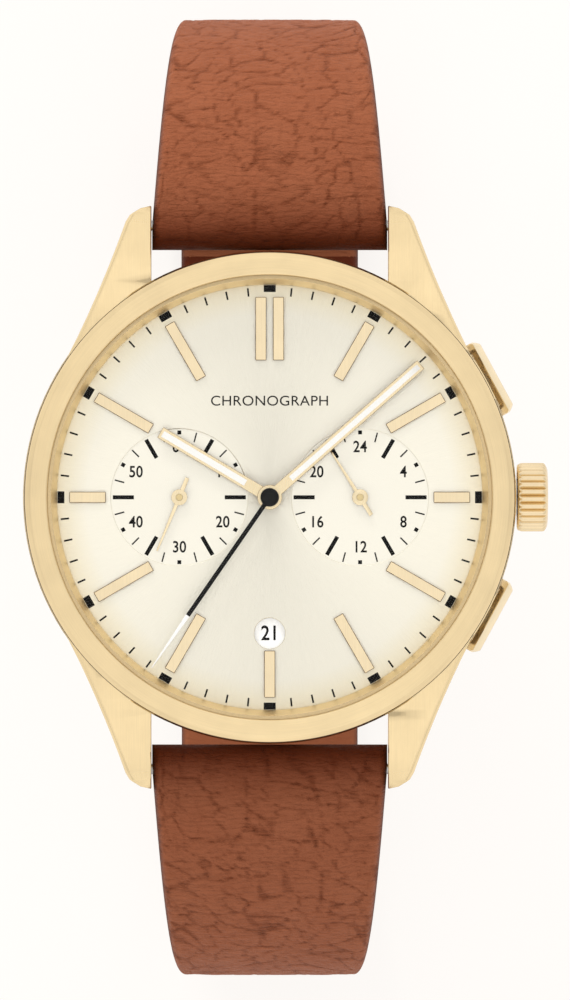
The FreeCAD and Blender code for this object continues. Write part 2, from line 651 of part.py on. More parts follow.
dateLow = plateTop + s.layerGap
keep(ring("date_ring", s.dateInner, s.dateOuter, dateLow, dateLow + s.dateThick))
cover = newBody("date_ring_cover")
pad(cover, sketchOn(cover, "XY_Plane", circles=[((0, 0), s.dateInner - s.coverMargin)],
                    offset=plateTop), s.coverThick)
cutThrough(cover, sketchOn(cover, "XY_Plane", circles=[
    ((0, 0), s.hourWheel + 0.15), (subdialSpots[0], counterHole), (subdialSpots[1], counterHole)]))
cutThrough(cover, sketchOn(cover, "XY_Plane", circles=[((s.motionX, s.motionY), s.motionWheel + 0.15)]))
keep(cover)

batteryTop = s.plateBottom - s.seatGap
batteryBottom = batteryTop - s.batteryHeight
batteryCell = turned("battery", [
    (0, batteryBottom), (s.batteryRadius - 0.6, batteryBottom), (s.batteryRadius - 0.6, batteryBottom + 0.2),
    (s.batteryRadius, batteryBottom + 0.4), (s.batteryRadius, batteryTop), (0, batteryTop)])
keep(batteryCell, FreeCAD.Placement(Vec(s.batteryX.value, s.batteryY.value, 0), FreeCAD.Rotation()))
clampBottom = batteryBottom - s.seatGap - s.clampThick
clampCorner = (s.batteryX - s.clampLength / 2, s.batteryY - s.clampWidth / 2, clampBottom)
keep(block((s.clampLength, s.clampWidth, s.clampThick), clampCorner)).Label = "battery_clamp"
# The board fills the corner beside the battery, with its chip and quartz can hanging below it.
boardCorners = [(-12.0, -4.6), (-4.6, -4.6), (-1.4, -7.4), (-1.4, -13.4), (-7.6, -12.4), (-12.0, -8.4)]
board = newBody("circuit_board")
pad(board, sketchOn(board, "XY_Plane", [boardCorners], offset=s.boardLow), s.boardThick)
keep(board)
chipCorner = (-6.5, -10.5, s.boardLow - s.seatGap - s.chipThick)
keep(block((s.chipSide, s.chipSide, s.chipThick), chipCorner)).Label = "control_chip"
quartzStart = Vec(-11.0, -6.0, (s.boardLow - s.quartzRadius - s.seatGap).value)
keep(rod(s.quartzRadius, 0, s.quartzLength,
         placement=FreeCAD.Placement(quartzStart, FreeCAD.Rotation(yAxis, 90)))).Label = "quartz_can"
coilSpot = Vec(s.coilX.value, s.coilY.value, s.coilHeight.value)
coilPlace = FreeCAD.Placement(coilSpot, FreeCAD.Rotation(yAxis, 90))
keep(block((s.coreThick, s.coreWidth, s.coreLength), (-s.coreThick / 2, -s.coreWidth / 2, -s.coreLength / 2),
           coilPlace)).Label = "coil_core"
hollowThick, hollowWidth = s.coreThick + s.seatGap * 2, s.coreWidth + s.seatGap * 2
windingHollow = block((hollowThick, hollowWidth, s.coreLength),
                      (-hollowThick / 2, -hollowWidth / 2, -s.coreLength / 2), coilPlace)
keep(cutFrom("coil_winding",
             rod(s.coilRadius, -s.coilLength / 2, s.coilLength / 2, placement=coilPlace), windingHollow))
statorCorner = (s.rotorX - 5.0, s.rotorY - s.statorWidth / 2, s.statorLow)
keep(cutFrom("motor_stator", block((s.statorLength, s.statorWidth, s.statorThick), statorCorner),
             rod(s.rotorMagnet + 0.15, s.bridgeBottom, s.plateBottom, s.rotorX, s.rotorY)))

# ---- Crown, stem and pushers ------------------------------------------------------------------

tubeEnd = s.caseRadius + s.tubeStandOut
keep(ring("crown_tube", s.tubeBore, s.tubeRadius, s.boreRadius + s.seatGap, tubeEnd), crownPlace)
crownInner = s.caseRadius + s.crownGap
crownOuter = crownInner + s.crownLength
crownBoreEnd = tubeEnd + 0.25
crownWell = s.tubeRadius + 0.3
crown = turned("crown", [
    (s.tubeRadius + s.runGap, crownInner), (s.crownRadius - s.crownRound, crownInner),
    (s.crownRadius, crownInner + s.crownRound), (s.crownRadius, crownOuter - s.crownRound),
    (s.crownRadius - s.crownRound, crownOuter - 0.05), (s.crownRadius - 0.9, crownOuter), (0, crownOuter),
    (0, crownBoreEnd), (crownWell, crownBoreEnd), (crownWell, crownInner + 0.12),
    (s.tubeRadius + s.runGap, crownInner + 0.12)])
fluteSketch = sketchOn(crown, "XY_Plane", circles=[((s.crownRadius + s.fluteRadius - s.fluteDepth, 0),
                                                    s.fluteRadius)])
flute = cutThrough(crown, fluteSketch)
flutes = crown.newObject("PartDesign::PolarPattern", "Flutes")
flutes.Originals = [flute]
flutes.Axis = (fluteSketch, ["N_Axis"])
flutes.Angle = 360
bind(flutes, "Occurrences", s.fluteCount)
crown.Tip = flutes
keep(crown, crownPlace)
keep(ring("crown_gasket", s.tubeRadius + s.runGap, crownWell - s.seatGap, crownInner + 0.16,
          crownInner + 0.45), crownPlace)
stemShoulder = s.boreRadius - 0.3
keep(turned("winding_stem", [
    (0, s.stemStart), (s.stemThin, s.stemStart), (s.stemThin, s.grooveX), (s.grooveRadius, s.grooveX),
    (s.grooveRadius, s.grooveX + s.grooveWidth), (s.stemThin, s.grooveX + s.grooveWidth),
    (s.stemThin, stemShoulder), (s.tubeBore - s.runGap, stemShoulder),
    (s.tubeBore - s.runGap, crownBoreEnd - s.seatGap), (0, crownBoreEnd - s.seatGap)]), crownPlace)
pinionStart = s.grooveX - 0.3 - s.pinionLength
keep(ring("sliding_pinion", s.stemThin + s.seatGap, s.pinionRadius, pinionStart,
          pinionStart + s.pinionLength), crownPlace)
leverStart = s.grooveX + (s.grooveWidth - s.leverThick) / 2
lever = block((1.2, 3.3, s.leverThick), (-0.6, -0.35, leverStart), crownPlace)
leverSlot = joined("Part::MultiFuse", "lever_slot", [
    rod(s.grooveRadius + s.runGap, s.stemStart, stemShoulder, placement=crownPlace),
    block((2 * (s.grooveRadius + s.runGap), 2.0, 6), (-s.grooveRadius - s.runGap, -2.0, leverStart - 2),
          crownPlace)])
keep(cutFrom("setting_lever", lever, leverSlot))

capDepth = capFace - capInner
for name, place in pusherPlaces.items():
    cap = newBody(name + "_pusher_cap")
    halfWidth, halfHeight = s.capWidth / 2, s.capHeight / 2
    # Seen from above the cap is a straight bar whose outer corners are cut off.
    pad(cap, sketchOn(cap, "YZ_Plane", [[
        (-halfWidth, capInner), (halfWidth, capInner), (halfWidth, capFace - capDepth * 0.45),
        (halfWidth - 0.45, capFace), (-halfWidth + 0.45, capFace),
        (-halfWidth, capFace - capDepth * 0.45)]]), s.capHeight, True)
    stemHole = sketchOn(cap, "XY_Plane", circles=[((0, 0), s.pushStem + s.seatGap)], offset=capInner)
    socket = cap.newObject("PartDesign::Pocket", "Socket")
    socket.Profile = stemHole
    socket.Reversed = True
    socket.Length = 0.5
    keep(cap, place)
    clipLow = s.boreRadius - 0.05 - s.pushClip
    keep(turned(name + "_pusher_stem", [
        (0, s.pushTip), (s.pushStem, s.pushTip), (s.pushStem, clipLow), (s.pushStem - 0.2, clipLow),
        (s.pushStem - 0.2, clipLow + s.pushClip), (s.pushStem, clipLow + s.pushClip),
        (s.pushStem, capInner + 0.48), (0, capInner + 0.48)]), place)
    keep(ring(name + "_pusher_clip", s.pushStem - 0.18, s.pushTube - 0.2, clipLow + 0.01,
              clipLow + s.pushClip - 0.01), place)
tubes = []
springs = []
springTurns = 3
for name, place in pusherPlaces.items():
    tube = turned(name + "_tube", [
        (s.pushStem + s.runGap, s.boreRadius + s.seatGap), (s.pushTube, s.boreRadius + s.seatGap),
        (s.pushTube, recessFloor), (s.pushTube - 0.3, recessFloor), (s.pushTube - 0.3, s.boreRadius + 1.0),
        (s.pushStem + s.runGap, s.boreRadius + 1.0)])
    tube.Placement = place
    tubes.append(tube)
    # Each spring is square wire drawn at its pressed length, inside the wide part of its tube.
    low = s.boreRadius.value + 1.0 + s.springWire.value
    height = recessFloor.value - low - s.springWire.value
    helix = Part.makeHelix(height / springTurns, height, s.springRadius.value)
    half = s.springWire.value / 2
    near, far = s.springRadius.value - half, s.springRadius.value + half
    section = Part.makePolygon([Vec(x, 0, z) for x, z in (
        (near, -half), (far, -half), (far, half), (near, half), (near, -half))])
    coil = Part.Wire(helix.Edges).makePipeShell([section], True, True)
    coil.translate(Vec(0, 0, low))
    coil.transformShape(place.Matrix)
    springs.append(coil)
tubePair = doc.addObject("Part::Compound", "Tubes")
tubePair.Links = tubes
tubePair.Label = "pusher_tubes"
keep(tubePair)
springPair = doc.addObject("Part::Feature", "Springs")
springPair.Shape = Part.makeCompound(springs)
springPair.Label = "pusher_springs"
keep(springPair)

# ---- Hands ------------------------------------------------------------------------------------


def hand(label, length, width, hub, bore, height, angle, x=0):
    """A square-ended baton hand drawn towards 12 o'clock, with its hub, then turned to its angle."""
    body = newBody(label)
    half = width / 2
    pad(body, sketchOn(body, "XY_Plane", [[(-half, 0), (half, 0), (half, length), (-half, length)]],
                       offset=height), s.handThick)
    pad(body, sketchOn(body, "XY_Plane", circles=[((0, 0), hub)], offset=height), s.handThick)
    cutThrough(body, sketchOn(body, "XY_Plane", circles=[((0, 0), bore)]))
    keep(body, clockwise(angle, x))
    return body


def lume(label, inner, outer, width, height, angle):
    """A thin luminous strip lying on a hand."""
    body = newBody(label)
    half = width / 2
    pad(body, sketchOn(body, "XY_Plane", [[(-half, inner), (half, inner), (half, outer), (-half, outer)]],
                       offset=height), s.lumeThick)
    keep(body, clockwise(angle))


hand("hour_hand", s.hourLength, s.hourWidth, s.handHub, s.hourTube + s.seatGap, hourHeight, s.hourAngle)
hand("minute_hand", s.minuteLength, s.minuteWidth, s.handHub, s.cannonRadius + s.seatGap, minuteHeight,
     s.minuteAngle)
lumeTop = s.lumeMargin * 2
lume("hour_lume", s.lumeRoot, s.hourLength - s.lumeMargin, s.hourWidth - lumeTop,
     hourHeight + s.handThick, s.hourAngle)
lume("minute_lume", s.lumeRoot, s.minuteLength - s.lumeMargin, s.minuteWidth - lumeTop,
     minuteHeight + s.handThick, s.minuteAngle)

seconds = newBody("seconds_hand")
half = s.secondsWidth / 2
pad(seconds, sketchOn(seconds, "XY_Plane", [[
    (-half, 0), (half, 0), (half, s.secondsLength * 0.69), (0.05, s.secondsLength), (-0.05, s.secondsLength),
    (-half, s.secondsLength * 0.69)]], offset=secondsHeight), s.handThick)
pad(seconds, sketchOn(seconds, "XY_Plane", circles=[((0, 0), s.secondsHub)], offset=secondsHeight),
    s.handThick * 2)
seatHole = seconds.newObject("PartDesign::Pocket", "Seat")
seatHole.Profile = sketchOn(seconds, "XY_Plane", circles=[((0, 0), s.secondsArbor + s.seatGap)],
                            offset=secondsHeight)
seatHole.Reversed = True
bind(seatHole, "Length", s.handThick + 0.02)
keep(seconds, clockwise(s.secondsAngle))

for label, angle, x in (("minute_counter_hand", s.leftAngle, -s.subdialX),
                        ("day_counter_hand", s.rightAngle, s.subdialX)):
    counter = newBody(label)
    half, tailHalf = s.counterWidth / 2, s.counterTailWidth / 2
    pad(counter, sketchOn(counter, "XY_Plane", [[
        (-tailHalf, -s.counterTail), (tailHalf, -s.counterTail), (tailHalf, 0), (half, 0),
        (half * 0.4, s.counterLength), (-half * 0.4, s.counterLength), (-half, 0), (-tailHalf, 0)]],
        offset=counterHeight), s.handThick)
    pad(counter, sketchOn(counter, "XY_Plane", circles=[((0, 0), s.counterHub)], offset=counterHeight),
        s.handThick * 1.4)
    cutThrough(counter, sketchOn(counter, "XY_Plane", circles=[((0, 0), s.counterArbor + s.seatGap)]))
    keep(counter, clockwise(angle, x))

# ---- Strap ------------------------------------------------------------------------------------

shortFloor = s.strapFloor + s.keeperWall + s.keeperRoom


def springBar(label, width, tipReach, radius, tip, place):
    end = width / 2 + tipReach
    body = turned(label, [
        (0, -end), (tip, -end), (tip, -width / 2), (radius, -width / 2), (radius, width / 2),
        (tip, width / 2), (tip, end), (0, end)])
    body.Placement = place
    return body


lugBars = doc.addObject("Part::Compound", "LugBars")
lugBars.Links = [
    springBar("bar_" + name, s.strapWidth, (lugGap - s.strapWidth) / 2 + s.barTipReach, s.barRadius,
              s.barTip, place) for name, place in barPlaces.items()]
lugBars.Label = "lug_spring_bars"
keep(lugBars)


def strapHalf(label, sign, floor, corner, thick, end):
    """One half of the strap: its side outline padded across, then narrowed by two pockets."""
    top, bottom = s.barZ + s.rollRadius, s.barZ - s.rollRadius
    outerCurve = strapReach - barY
    innerCurve = outerCurve - s.strapSide
    outline = [
        (barY, top, outerCurve, -1), (strapReach, top - outerCurve), (strapReach, floor + corner,
                                                                         corner, -1),
        (strapReach - corner, floor), (end, floor), (end, floor + thick),
        (strapReach - corner, floor + thick, corner - thick, 1), (strapReach - thick, floor + corner),
        (strapReach - s.strapSide, bottom - innerCurve, innerCurve, 1),
        (barY, bottom, s.rollRadius, -1), (barY - s.rollRadius, s.barZ, s.rollRadius, -1)]
    loop = []
    for point in outline:
        place = (sign * asSize(point[0]), point[1])
        loop.append(place + (point[2], sign * point[3]) if len(point) == 4 else place)
    body = newBody(label)
    pad(body, sketchOn(body, "YZ_Plane", [loop], [((sign * barY, s.barZ), s.barRadius + s.runGap)]),
        s.strapWidth, True)
    wide, narrow, spare = s.strapWidth / 2, s.strapNarrow / 2, 3
    cutThrough(body, sketchOn(body, "XY_Plane", [
        [(side * wide, sign * barY), (side * narrow, sign * strapReach),
         (side * narrow, sign * (strapReach + spare)), (side * (wide + spare), sign * (strapReach + spare)),
         (side * (wide + spare), sign * barY)] for side in (-1, 1)]))
    cutThrough(body, sketchOn(body, "XZ_Plane", [
        [(side * narrow, s.taperEndZ), (side * narrow, s.strapFloor - spare),
         (side * (wide + spare), s.strapFloor - spare), (side * (wide + spare), s.taperEndZ)]
        for side in (-1, 1)]))
    return body


shortHalf = strapHalf("strap_short", 1, shortFloor, s.shortCorner, s.shortThick, s.buckleY)
buckleZ = shortFloor + s.shortThick / 2
pad(shortHalf, sketchOn(shortHalf, "YZ_Plane", circles=[((s.buckleY, buckleZ), s.endRoll)]),
    s.strapNarrow, True)
cutThrough(shortHalf, sketchOn(shortHalf, "YZ_Plane", circles=[((s.buckleY, buckleZ),
                                                               s.buckleBar + s.runGap)]))
slotHalf = s.slotWidth / 2
cutThrough(shortHalf, sketchOn(shortHalf, "XY_Plane", [[
    (-slotHalf, s.buckleY - s.endRoll - 1), (slotHalf, s.buckleY - s.endRoll - 1),
    (slotHalf, s.buckleY + s.endRoll + 0.3), (-slotHalf, s.buckleY + s.endRoll + 0.3)]]))
keep(shortHalf)

longHalf = strapHalf("strap_long", -1, s.strapFloor, s.longCorner, s.longThick, s.tipLength - s.tipY)
tipHalf = s.strapNarrow / 2
pad(longHalf, sketchOn(longHalf, "XY_Plane", [[
    (-tipHalf, s.tipY - s.tipLength - 1), (tipHalf, s.tipY - s.tipLength - 1),
    (tipHalf, s.tipY - s.tipLength, s.tipCurve, 1), (0, s.tipY, s.tipCurve, 1),
    (-tipHalf, s.tipY - s.tipLength)]], offset=s.strapFloor), s.longThick)
cutThrough(longHalf, sketchOn(longHalf, "XY_Plane", circles=[
    ((0, s.tipY - s.tipLength - s.holeStart - s.holePitch * count), s.holeRadius) for count in range(-1, 4)]))
keep(longHalf)

keeperInner = s.strapNarrow / 2 + s.softGap
keeperOuter = keeperInner + s.keeperWall
keeper = newBody("fixed_keeper")
keeperLow, keeperHigh = shortFloor - s.keeperRoom, shortFloor + s.shortThick + s.seatGap * 3
keeperLoops = [
    [(-half, low), (half, low), (half, high), (-half, high)] for half, low, high in (
        (keeperOuter, keeperLow - s.keeperWall, keeperHigh + s.keeperWall),
        (keeperInner, keeperLow, keeperHigh))]
pad(keeper, sketchOn(keeper, "XZ_Plane", keeperLoops, offset=-s.keeperY - s.keeperWidth), s.keeperWidth)
keep(keeper)

# The free keeper follows the strap's lower curve, so its section is swept about that curve's middle.
freeKeeper = newBody("free_keeper")
curveY, curveZ = strapReach - s.shortCorner, shortFloor + s.shortCorner
keeperNear = s.shortCorner - s.shortThick - s.softGap
keeperFar = s.shortCorner + s.keeperRoom
freeSketch = sketchOn(freeKeeper, "XZ_Plane", [
    [(-half, -far), (half, -far), (half, -near), (-half, -near)] for half, near, far in (
        (keeperOuter, keeperNear - s.keeperWall, keeperFar + s.keeperWall),
        (keeperInner, keeperNear, keeperFar))])
sweep = freeKeeper.newObject("PartDesign::Revolution", "Sweep")
sweep.Profile = freeSketch
sweep.ReferenceAxis = (freeSketch, ["H_Axis"])
sweep.Angle = math.degrees(s.keeperWidth.value / s.shortCorner.value)
keep(freeKeeper, FreeCAD.Placement(Vec(0, curveY.value, curveZ.value),
                                   FreeCAD.Rotation(xAxis, s.keeperStart.value)))

buckleSpot = FreeCAD.Placement(Vec(0, s.buckleY.value, buckleZ.value), FreeCAD.Rotation(yAxis, 90))
armInner = s.strapNarrow / 2 + s.softGap
armOuter = armInner + s.frameRod
frame = newBody("buckle_frame")
frameEnd = s.buckleY - s.frameReach
frameBack = s.buckleY + s.frameThick / 2
pad(frame, sketchOn(frame, "XY_Plane", [[
    (-armOuter, frameBack), (-armOuter, frameEnd + s.frameCorner, s.frameCorner, 1),
    (-armOuter + s.frameCorner, frameEnd), (armOuter - s.frameCorner, frameEnd, s.frameCorner, 1),
    (armOuter, frameEnd + s.frameCorner), (armOuter, frameBack), (armInner, frameBack),
    (armInner, frameEnd + s.frameRod), (-armInner, frameEnd + s.frameRod), (-armInner, frameBack)]],
    offset=buckleZ - s.frameThick / 2), s.frameThick)
cutThrough(frame, sketchOn(frame, "YZ_Plane", circles=[((s.buckleY, buckleZ), s.barTip + s.seatGap)]))
keep(frame)
keep(springBar("buckle_spring_bar", s.strapNarrow, s.softGap + 0.9, s.buckleBar, s.barTip, buckleSpot))

tongue = newBody("buckle_tongue")
tongueTop = buckleZ - s.frameThick / 2 - s.seatGap * 2
pad(tongue, sketchOn(tongue, "YZ_Plane", circles=[((s.buckleY, buckleZ), s.tongueRing)]), s.tongueWidth,
    True)
pad(tongue, sketchOn(tongue, "YZ_Plane", [[
    (s.buckleY, tongueTop - s.tongueThick), (s.buckleY, tongueTop), (frameEnd + 0.4, tongueTop),
    (frameEnd + 0.4, tongueTop - s.tongueThick * 0.6), (frameEnd + 1.4, tongueTop - s.tongueThick)]]),
    s.tongueWidth, True)
cutThrough(tongue, sketchOn(tongue, "YZ_Plane", circles=[((s.buckleY, buckleZ), s.buckleBar + s.runGap)]))
keep(tongue)

# ---- Checks and files ---------------------------------------------------------------------------

doc.recompute()
faults = []
for item in doc.Objects:
    if "Invalid" in item.State or "Error" in item.State:
        faults.append("%s is %s" % (item.Label, ", ".join(item.State)))
for node in nodes:
    if node.Shape.isNull() or not node.Shape.isValid():
        faults.append(node.Label + " has no valid shape")
    elif node.Shape.Volume <= 0 or not node.Shape.Solids:
        faults.append(node.Label + " holds no solid")
if faults:
    raise RuntimeError("; ".join(faults))
for node in nodes:
    node.Shape.exportStep("parts/%s.step" % node.Label)
    box = node.Shape.BoundBox
    print("%-22s %2d solids %9.3f mm3  x %7.2f %7.2f  y %7.2f %7.2f  z %7.2f %7.2f" % (
        node.Label, len(node.Shape.Solids), node.Shape.Volume, box.XMin, box.XMax, box.YMin, box.YMax,
        box.ZMin, box.ZMax))
print(len(nodes), "sub-parts written")
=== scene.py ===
import json
import math
import bmesh
import bpy
import numpy as np
from mathutils import Matrix, Vector

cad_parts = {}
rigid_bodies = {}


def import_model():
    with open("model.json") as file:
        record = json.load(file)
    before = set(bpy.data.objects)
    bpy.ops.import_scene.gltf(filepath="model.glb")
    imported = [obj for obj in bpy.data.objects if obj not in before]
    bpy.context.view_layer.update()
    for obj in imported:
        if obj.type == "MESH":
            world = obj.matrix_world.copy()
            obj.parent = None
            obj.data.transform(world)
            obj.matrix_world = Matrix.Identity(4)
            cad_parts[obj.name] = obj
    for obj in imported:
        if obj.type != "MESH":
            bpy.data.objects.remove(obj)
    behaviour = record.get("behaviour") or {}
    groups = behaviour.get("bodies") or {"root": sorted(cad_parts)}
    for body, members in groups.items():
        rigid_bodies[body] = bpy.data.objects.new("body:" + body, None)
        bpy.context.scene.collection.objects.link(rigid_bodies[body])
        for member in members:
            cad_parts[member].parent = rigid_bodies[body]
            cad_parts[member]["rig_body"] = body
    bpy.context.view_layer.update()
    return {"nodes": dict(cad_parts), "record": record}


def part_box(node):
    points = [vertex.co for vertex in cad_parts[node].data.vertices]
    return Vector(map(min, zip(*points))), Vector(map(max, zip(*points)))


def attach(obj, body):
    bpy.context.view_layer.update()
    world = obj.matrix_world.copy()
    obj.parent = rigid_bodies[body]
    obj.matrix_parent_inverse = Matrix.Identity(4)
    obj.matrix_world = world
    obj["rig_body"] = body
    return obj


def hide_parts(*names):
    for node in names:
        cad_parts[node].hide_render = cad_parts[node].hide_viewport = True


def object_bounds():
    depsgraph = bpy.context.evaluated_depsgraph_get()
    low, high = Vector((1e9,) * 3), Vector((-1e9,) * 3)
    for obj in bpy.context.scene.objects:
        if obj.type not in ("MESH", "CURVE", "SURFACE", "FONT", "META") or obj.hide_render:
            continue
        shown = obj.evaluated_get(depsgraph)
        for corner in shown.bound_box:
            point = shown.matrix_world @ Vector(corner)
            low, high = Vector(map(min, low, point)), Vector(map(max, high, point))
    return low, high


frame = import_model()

mm = 0.001
scene = bpy.context.scene
cadNodes = frame["nodes"]


def boxMm(node):
    low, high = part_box(node)
    return np.array(low) / mm, np.array(high) / mm


print("stage: tools")


class Wire:
    # A socket inside a material. Arithmetic on it adds Math nodes; node() adds any other node.
    def __init__(self, tree, socket=None):
        self.tree = tree
        self.socket = socket

    def plug(self, target, value):
        if isinstance(value, Wire):
            self.tree.links.new(value.socket, target)
        elif isinstance(value, (tuple, list)) and target.type == "RGBA" and len(value) == 3:
            target.default_value = (*value, 1.0)
        else:
            target.default_value = value

    def node(self, kind, inputs=None, out=0, **settings):
        made = self.tree.nodes.new(kind)
        for name, value in settings.items():
            setattr(made, name, value)
        for name, value in (inputs or {}).items():
            self.plug(made.inputs[name], value)
        return Wire(self.tree, made.outputs[out])

    def calc(self, operation, *others):
        made = self.tree.nodes.new("ShaderNodeMath")
        made.operation = operation
        for socket, value in zip(made.inputs, (self, *others)):
            self.plug(socket, value)
        return Wire(self.tree, made.outputs[0])

    def reflected(self, operation, other):
        made = self.tree.nodes.new("ShaderNodeMath")
        made.operation = operation
        self.plug(made.inputs[0], other)
        self.plug(made.inputs[1], self)
        return Wire(self.tree, made.outputs[0])

    def __add__(self, other):
        return self.calc("ADD", other)

    def __sub__(self, other):
        return self.calc("SUBTRACT", other)

    def __mul__(self, other):
        return self.calc("MULTIPLY", other)

    def __truediv__(self, other):
        return self.calc("DIVIDE", other)

    def __radd__(self, other):
        return self.reflected("ADD", other)

    def __rsub__(self, other):
        return self.reflected("SUBTRACT", other)

    def __rmul__(self, other):
        return self.reflected("MULTIPLY", other)

    def between(self, low, high):
        # 0 below low, 1 above high, and a straight run between them.
        return self.node("ShaderNodeMapRange", {"Value": self, "From Min": low, "From Max": high})

    def blend(self, first, second):
        # One colour where this value is 0 and the other where it is 1.
        return self.node("ShaderNodeMix", {0: self, 6: first, 7: second}, out=2, data_type="RGBA")


def newMaterial(name, constants):
    # A material with its Principled shader set to constants, and a Wire to start from.
    material = bpy.data.materials.new(name)
    material.use_nodes = True
    tree = material.node_tree
    shader = tree.nodes["Principled BSDF"]
    start = Wire(tree)
    for socket, value in constants.items():
        start.plug(shader.inputs[socket], value)
    return material, start, shader


def feed(start, shader, sockets):
    for socket, value in sockets.items():
        start.plug(shader.inputs[socket], value)


def places(start):
    # The object's own x, y and z in millimetres.
    split = start.node("ShaderNodeSeparateXYZ", {0: start.node("ShaderNodeTexCoord", out="Object")})
    node = split.socket.node
    return [Wire(start.tree, node.outputs[axis]) * 1000.0 for axis in range(3)]


def noise(start, x, y, z, scale=1.0, detail=2.0, roughness=0.5):
    vector = start.node("ShaderNodeCombineXYZ", {0: x, 1: y, 2: z})
    return start.node("ShaderNodeTexNoise", {"Vector": vector, "Scale": scale, "Detail": detail,
                                             "Roughness": roughness})


def mottled(pattern, low, high, colour, darkest, lightest):
    # A colour that follows a pattern, from darkest times the colour to lightest times it.
    dark = tuple(part * darkest for part in colour)
    light = tuple(min(part * lightest, 1) for part in colour)
    return pattern.between(low, high).blend(dark, light)


def timesGrey(start, paint, grey):
    # A colour made lighter or darker by a factor.
    factor = start.node("ShaderNodeCombineColor", {0: grey, 1: grey, 2: grey})
    return start.node("ShaderNodeMix", {0: 1.0, 6: paint, 7: factor}, out=2, data_type="RGBA",
                      blend_type="MULTIPLY")


def bumped(start, height, strength, distance):
    return start.node("ShaderNodeBump", {"Height": height, "Strength": strength, "Distance": distance})


def meshPiece(name, points, faces, materials, smoothAngle=35, uv=None, values=None):
    # Puts arrays of points and faces into an object, merges doubles and points faces outwards.
    mesh = bpy.data.meshes.new(name)
    places = np.asarray(points, float).reshape(-1, 3) * mm
    mesh.from_pydata(places.tolist(), [], np.asarray(faces, object).tolist())
    for key, array in (values or {}).items():
        layer = mesh.attributes.new(key, "FLOAT", "POINT")
        layer.data.foreach_set("value", np.asarray(array, np.float32).ravel())
    if uv is not None:
        corners = np.zeros(len(mesh.loops), np.int32)
        mesh.loops.foreach_get("vertex_index", corners)
        layer = mesh.uv_layers.new(name="surface")
        layer.data.foreach_set("uv", np.asarray(uv, np.float32).reshape(-1, 2)[corners].ravel())
    work = bmesh.new()
    work.from_mesh(mesh)
    bmesh.ops.remove_doubles(work, verts=work.verts, dist=2e-7)
    bmesh.ops.dissolve_degenerate(work, edges=work.edges, dist=1e-7)
    bmesh.ops.recalc_face_normals(work, faces=work.faces)
    work.to_mesh(mesh)
    work.free()
    return settle(name, mesh, materials, smoothAngle)


def settle(name, mesh, materials, smoothAngle):
    piece = bpy.data.objects.new(name, mesh)
    scene.collection.objects.link(piece)
    for material in materials:
        mesh.materials.append(material)
    mesh.shade_smooth()
    mesh.set_sharp_from_angle(angle=math.radians(smoothAngle))
    return piece


def gridFaces(rows, columns, closeRows=False, closeColumns=False):
    # Quads over a grid of rows by columns points, wrapped round where it closes.
    row = np.arange(rows if closeRows else rows - 1)
    column = np.arange(columns if closeColumns else columns - 1)
    a, b = np.meshgrid(row, column, indexing="ij")
    nextRow, nextColumn = (a + 1) % rows, (b + 1) % columns
    corners = [a * columns + b, nextRow * columns + b, nextRow * columns + nextColumn,
               a * columns + nextColumn]
    return np.stack(corners, -1).reshape(-1, 4)


def eased(profile, radius, steps=5, closed=True):
    # Rounds each corner: a curve from a point before it to a point after it, drawn to the corner.
    points = np.asarray(profile, float)
    before, after = np.roll(points, 1, 0) - points, np.roll(points, -1, 0) - points
    lengths = [np.maximum(np.linalg.norm(edge, axis=1, keepdims=True), 1e-9) for edge in (before, after)]
    near = points + before / lengths[0] * np.minimum(radius, lengths[0] * 0.45)
    far = points + after / lengths[1] * np.minimum(radius, lengths[1] * 0.45)
    t = np.linspace(0, 1, steps)[None, :, None]
    curve = (1 - t) ** 2 * near[:, None] + 2 * t * (1 - t) * points[:, None] + t ** 2 * far[:, None]
    curve = curve.reshape(-1, points.shape[1])
    if closed:
        return curve
    return np.vstack([points[:1], curve[steps:-steps], points[-1:]])


def lathe(name, profile, materials, segments=256, closed=True, centre=(0, 0)):
    # A profile of radius and height turned about an upright axis through a centre.
    profile = np.asarray(profile, float)
    turn = np.linspace(0, 2 * np.pi, segments, endpoint=False)
    points = np.stack([profile[:, :1] * np.cos(turn) + centre[0], profile[:, :1] * np.sin(turn) + centre[1],
                       np.repeat(profile[:, 1:], segments, 1)], -1)
    faces = gridFaces(len(profile), segments, closed, True)
    return meshPiece(name, points, faces, materials, 32)


def copied(node, name, materials, bevels=(), sharp=30, smoothAngle=35):
    # A merged copy of a CAD piece standing for it. Each bevel is (width, segments, which edges it takes).
    work = bmesh.new()
    work.from_mesh(cadNodes[node].data)
    bmesh.ops.remove_doubles(work, verts=work.verts, dist=1e-6)
    bmesh.ops.dissolve_limit(work, angle_limit=math.radians(0.6), verts=work.verts, edges=work.edges)
    for width, segments, takes in bevels:
        edges = [edge for edge in work.edges
                 if len(edge.link_faces) == 2 and edge.calc_face_angle(0) > math.radians(sharp)
                 and (takes is None or takes(*[vertex.co / mm for vertex in edge.verts]))]
        bmesh.ops.bevel(work, geom=edges, offset=width * mm, segments=segments, profile=0.5,
                        affect="EDGES", clamp_overlap=takes is None)
    mesh = bpy.data.meshes.new(name)
    work.to_mesh(mesh)
    work.free()
    piece = settle(name, mesh, materials, smoothAngle)
    even = piece.modifiers.new("even shading", "WEIGHTED_NORMAL")
    even.keep_sharp = True
    return stand(piece, node)


def stand(piece, node):
    # Lets a piece stand for a CAD node on that node's own body.
    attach(piece, cadNodes[node]["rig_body"])
    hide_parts(node)
    return piece


print("stage: metals")
goldSettings = {"colour": (0.92, 0.73, 0.43), "polished": 0.16}


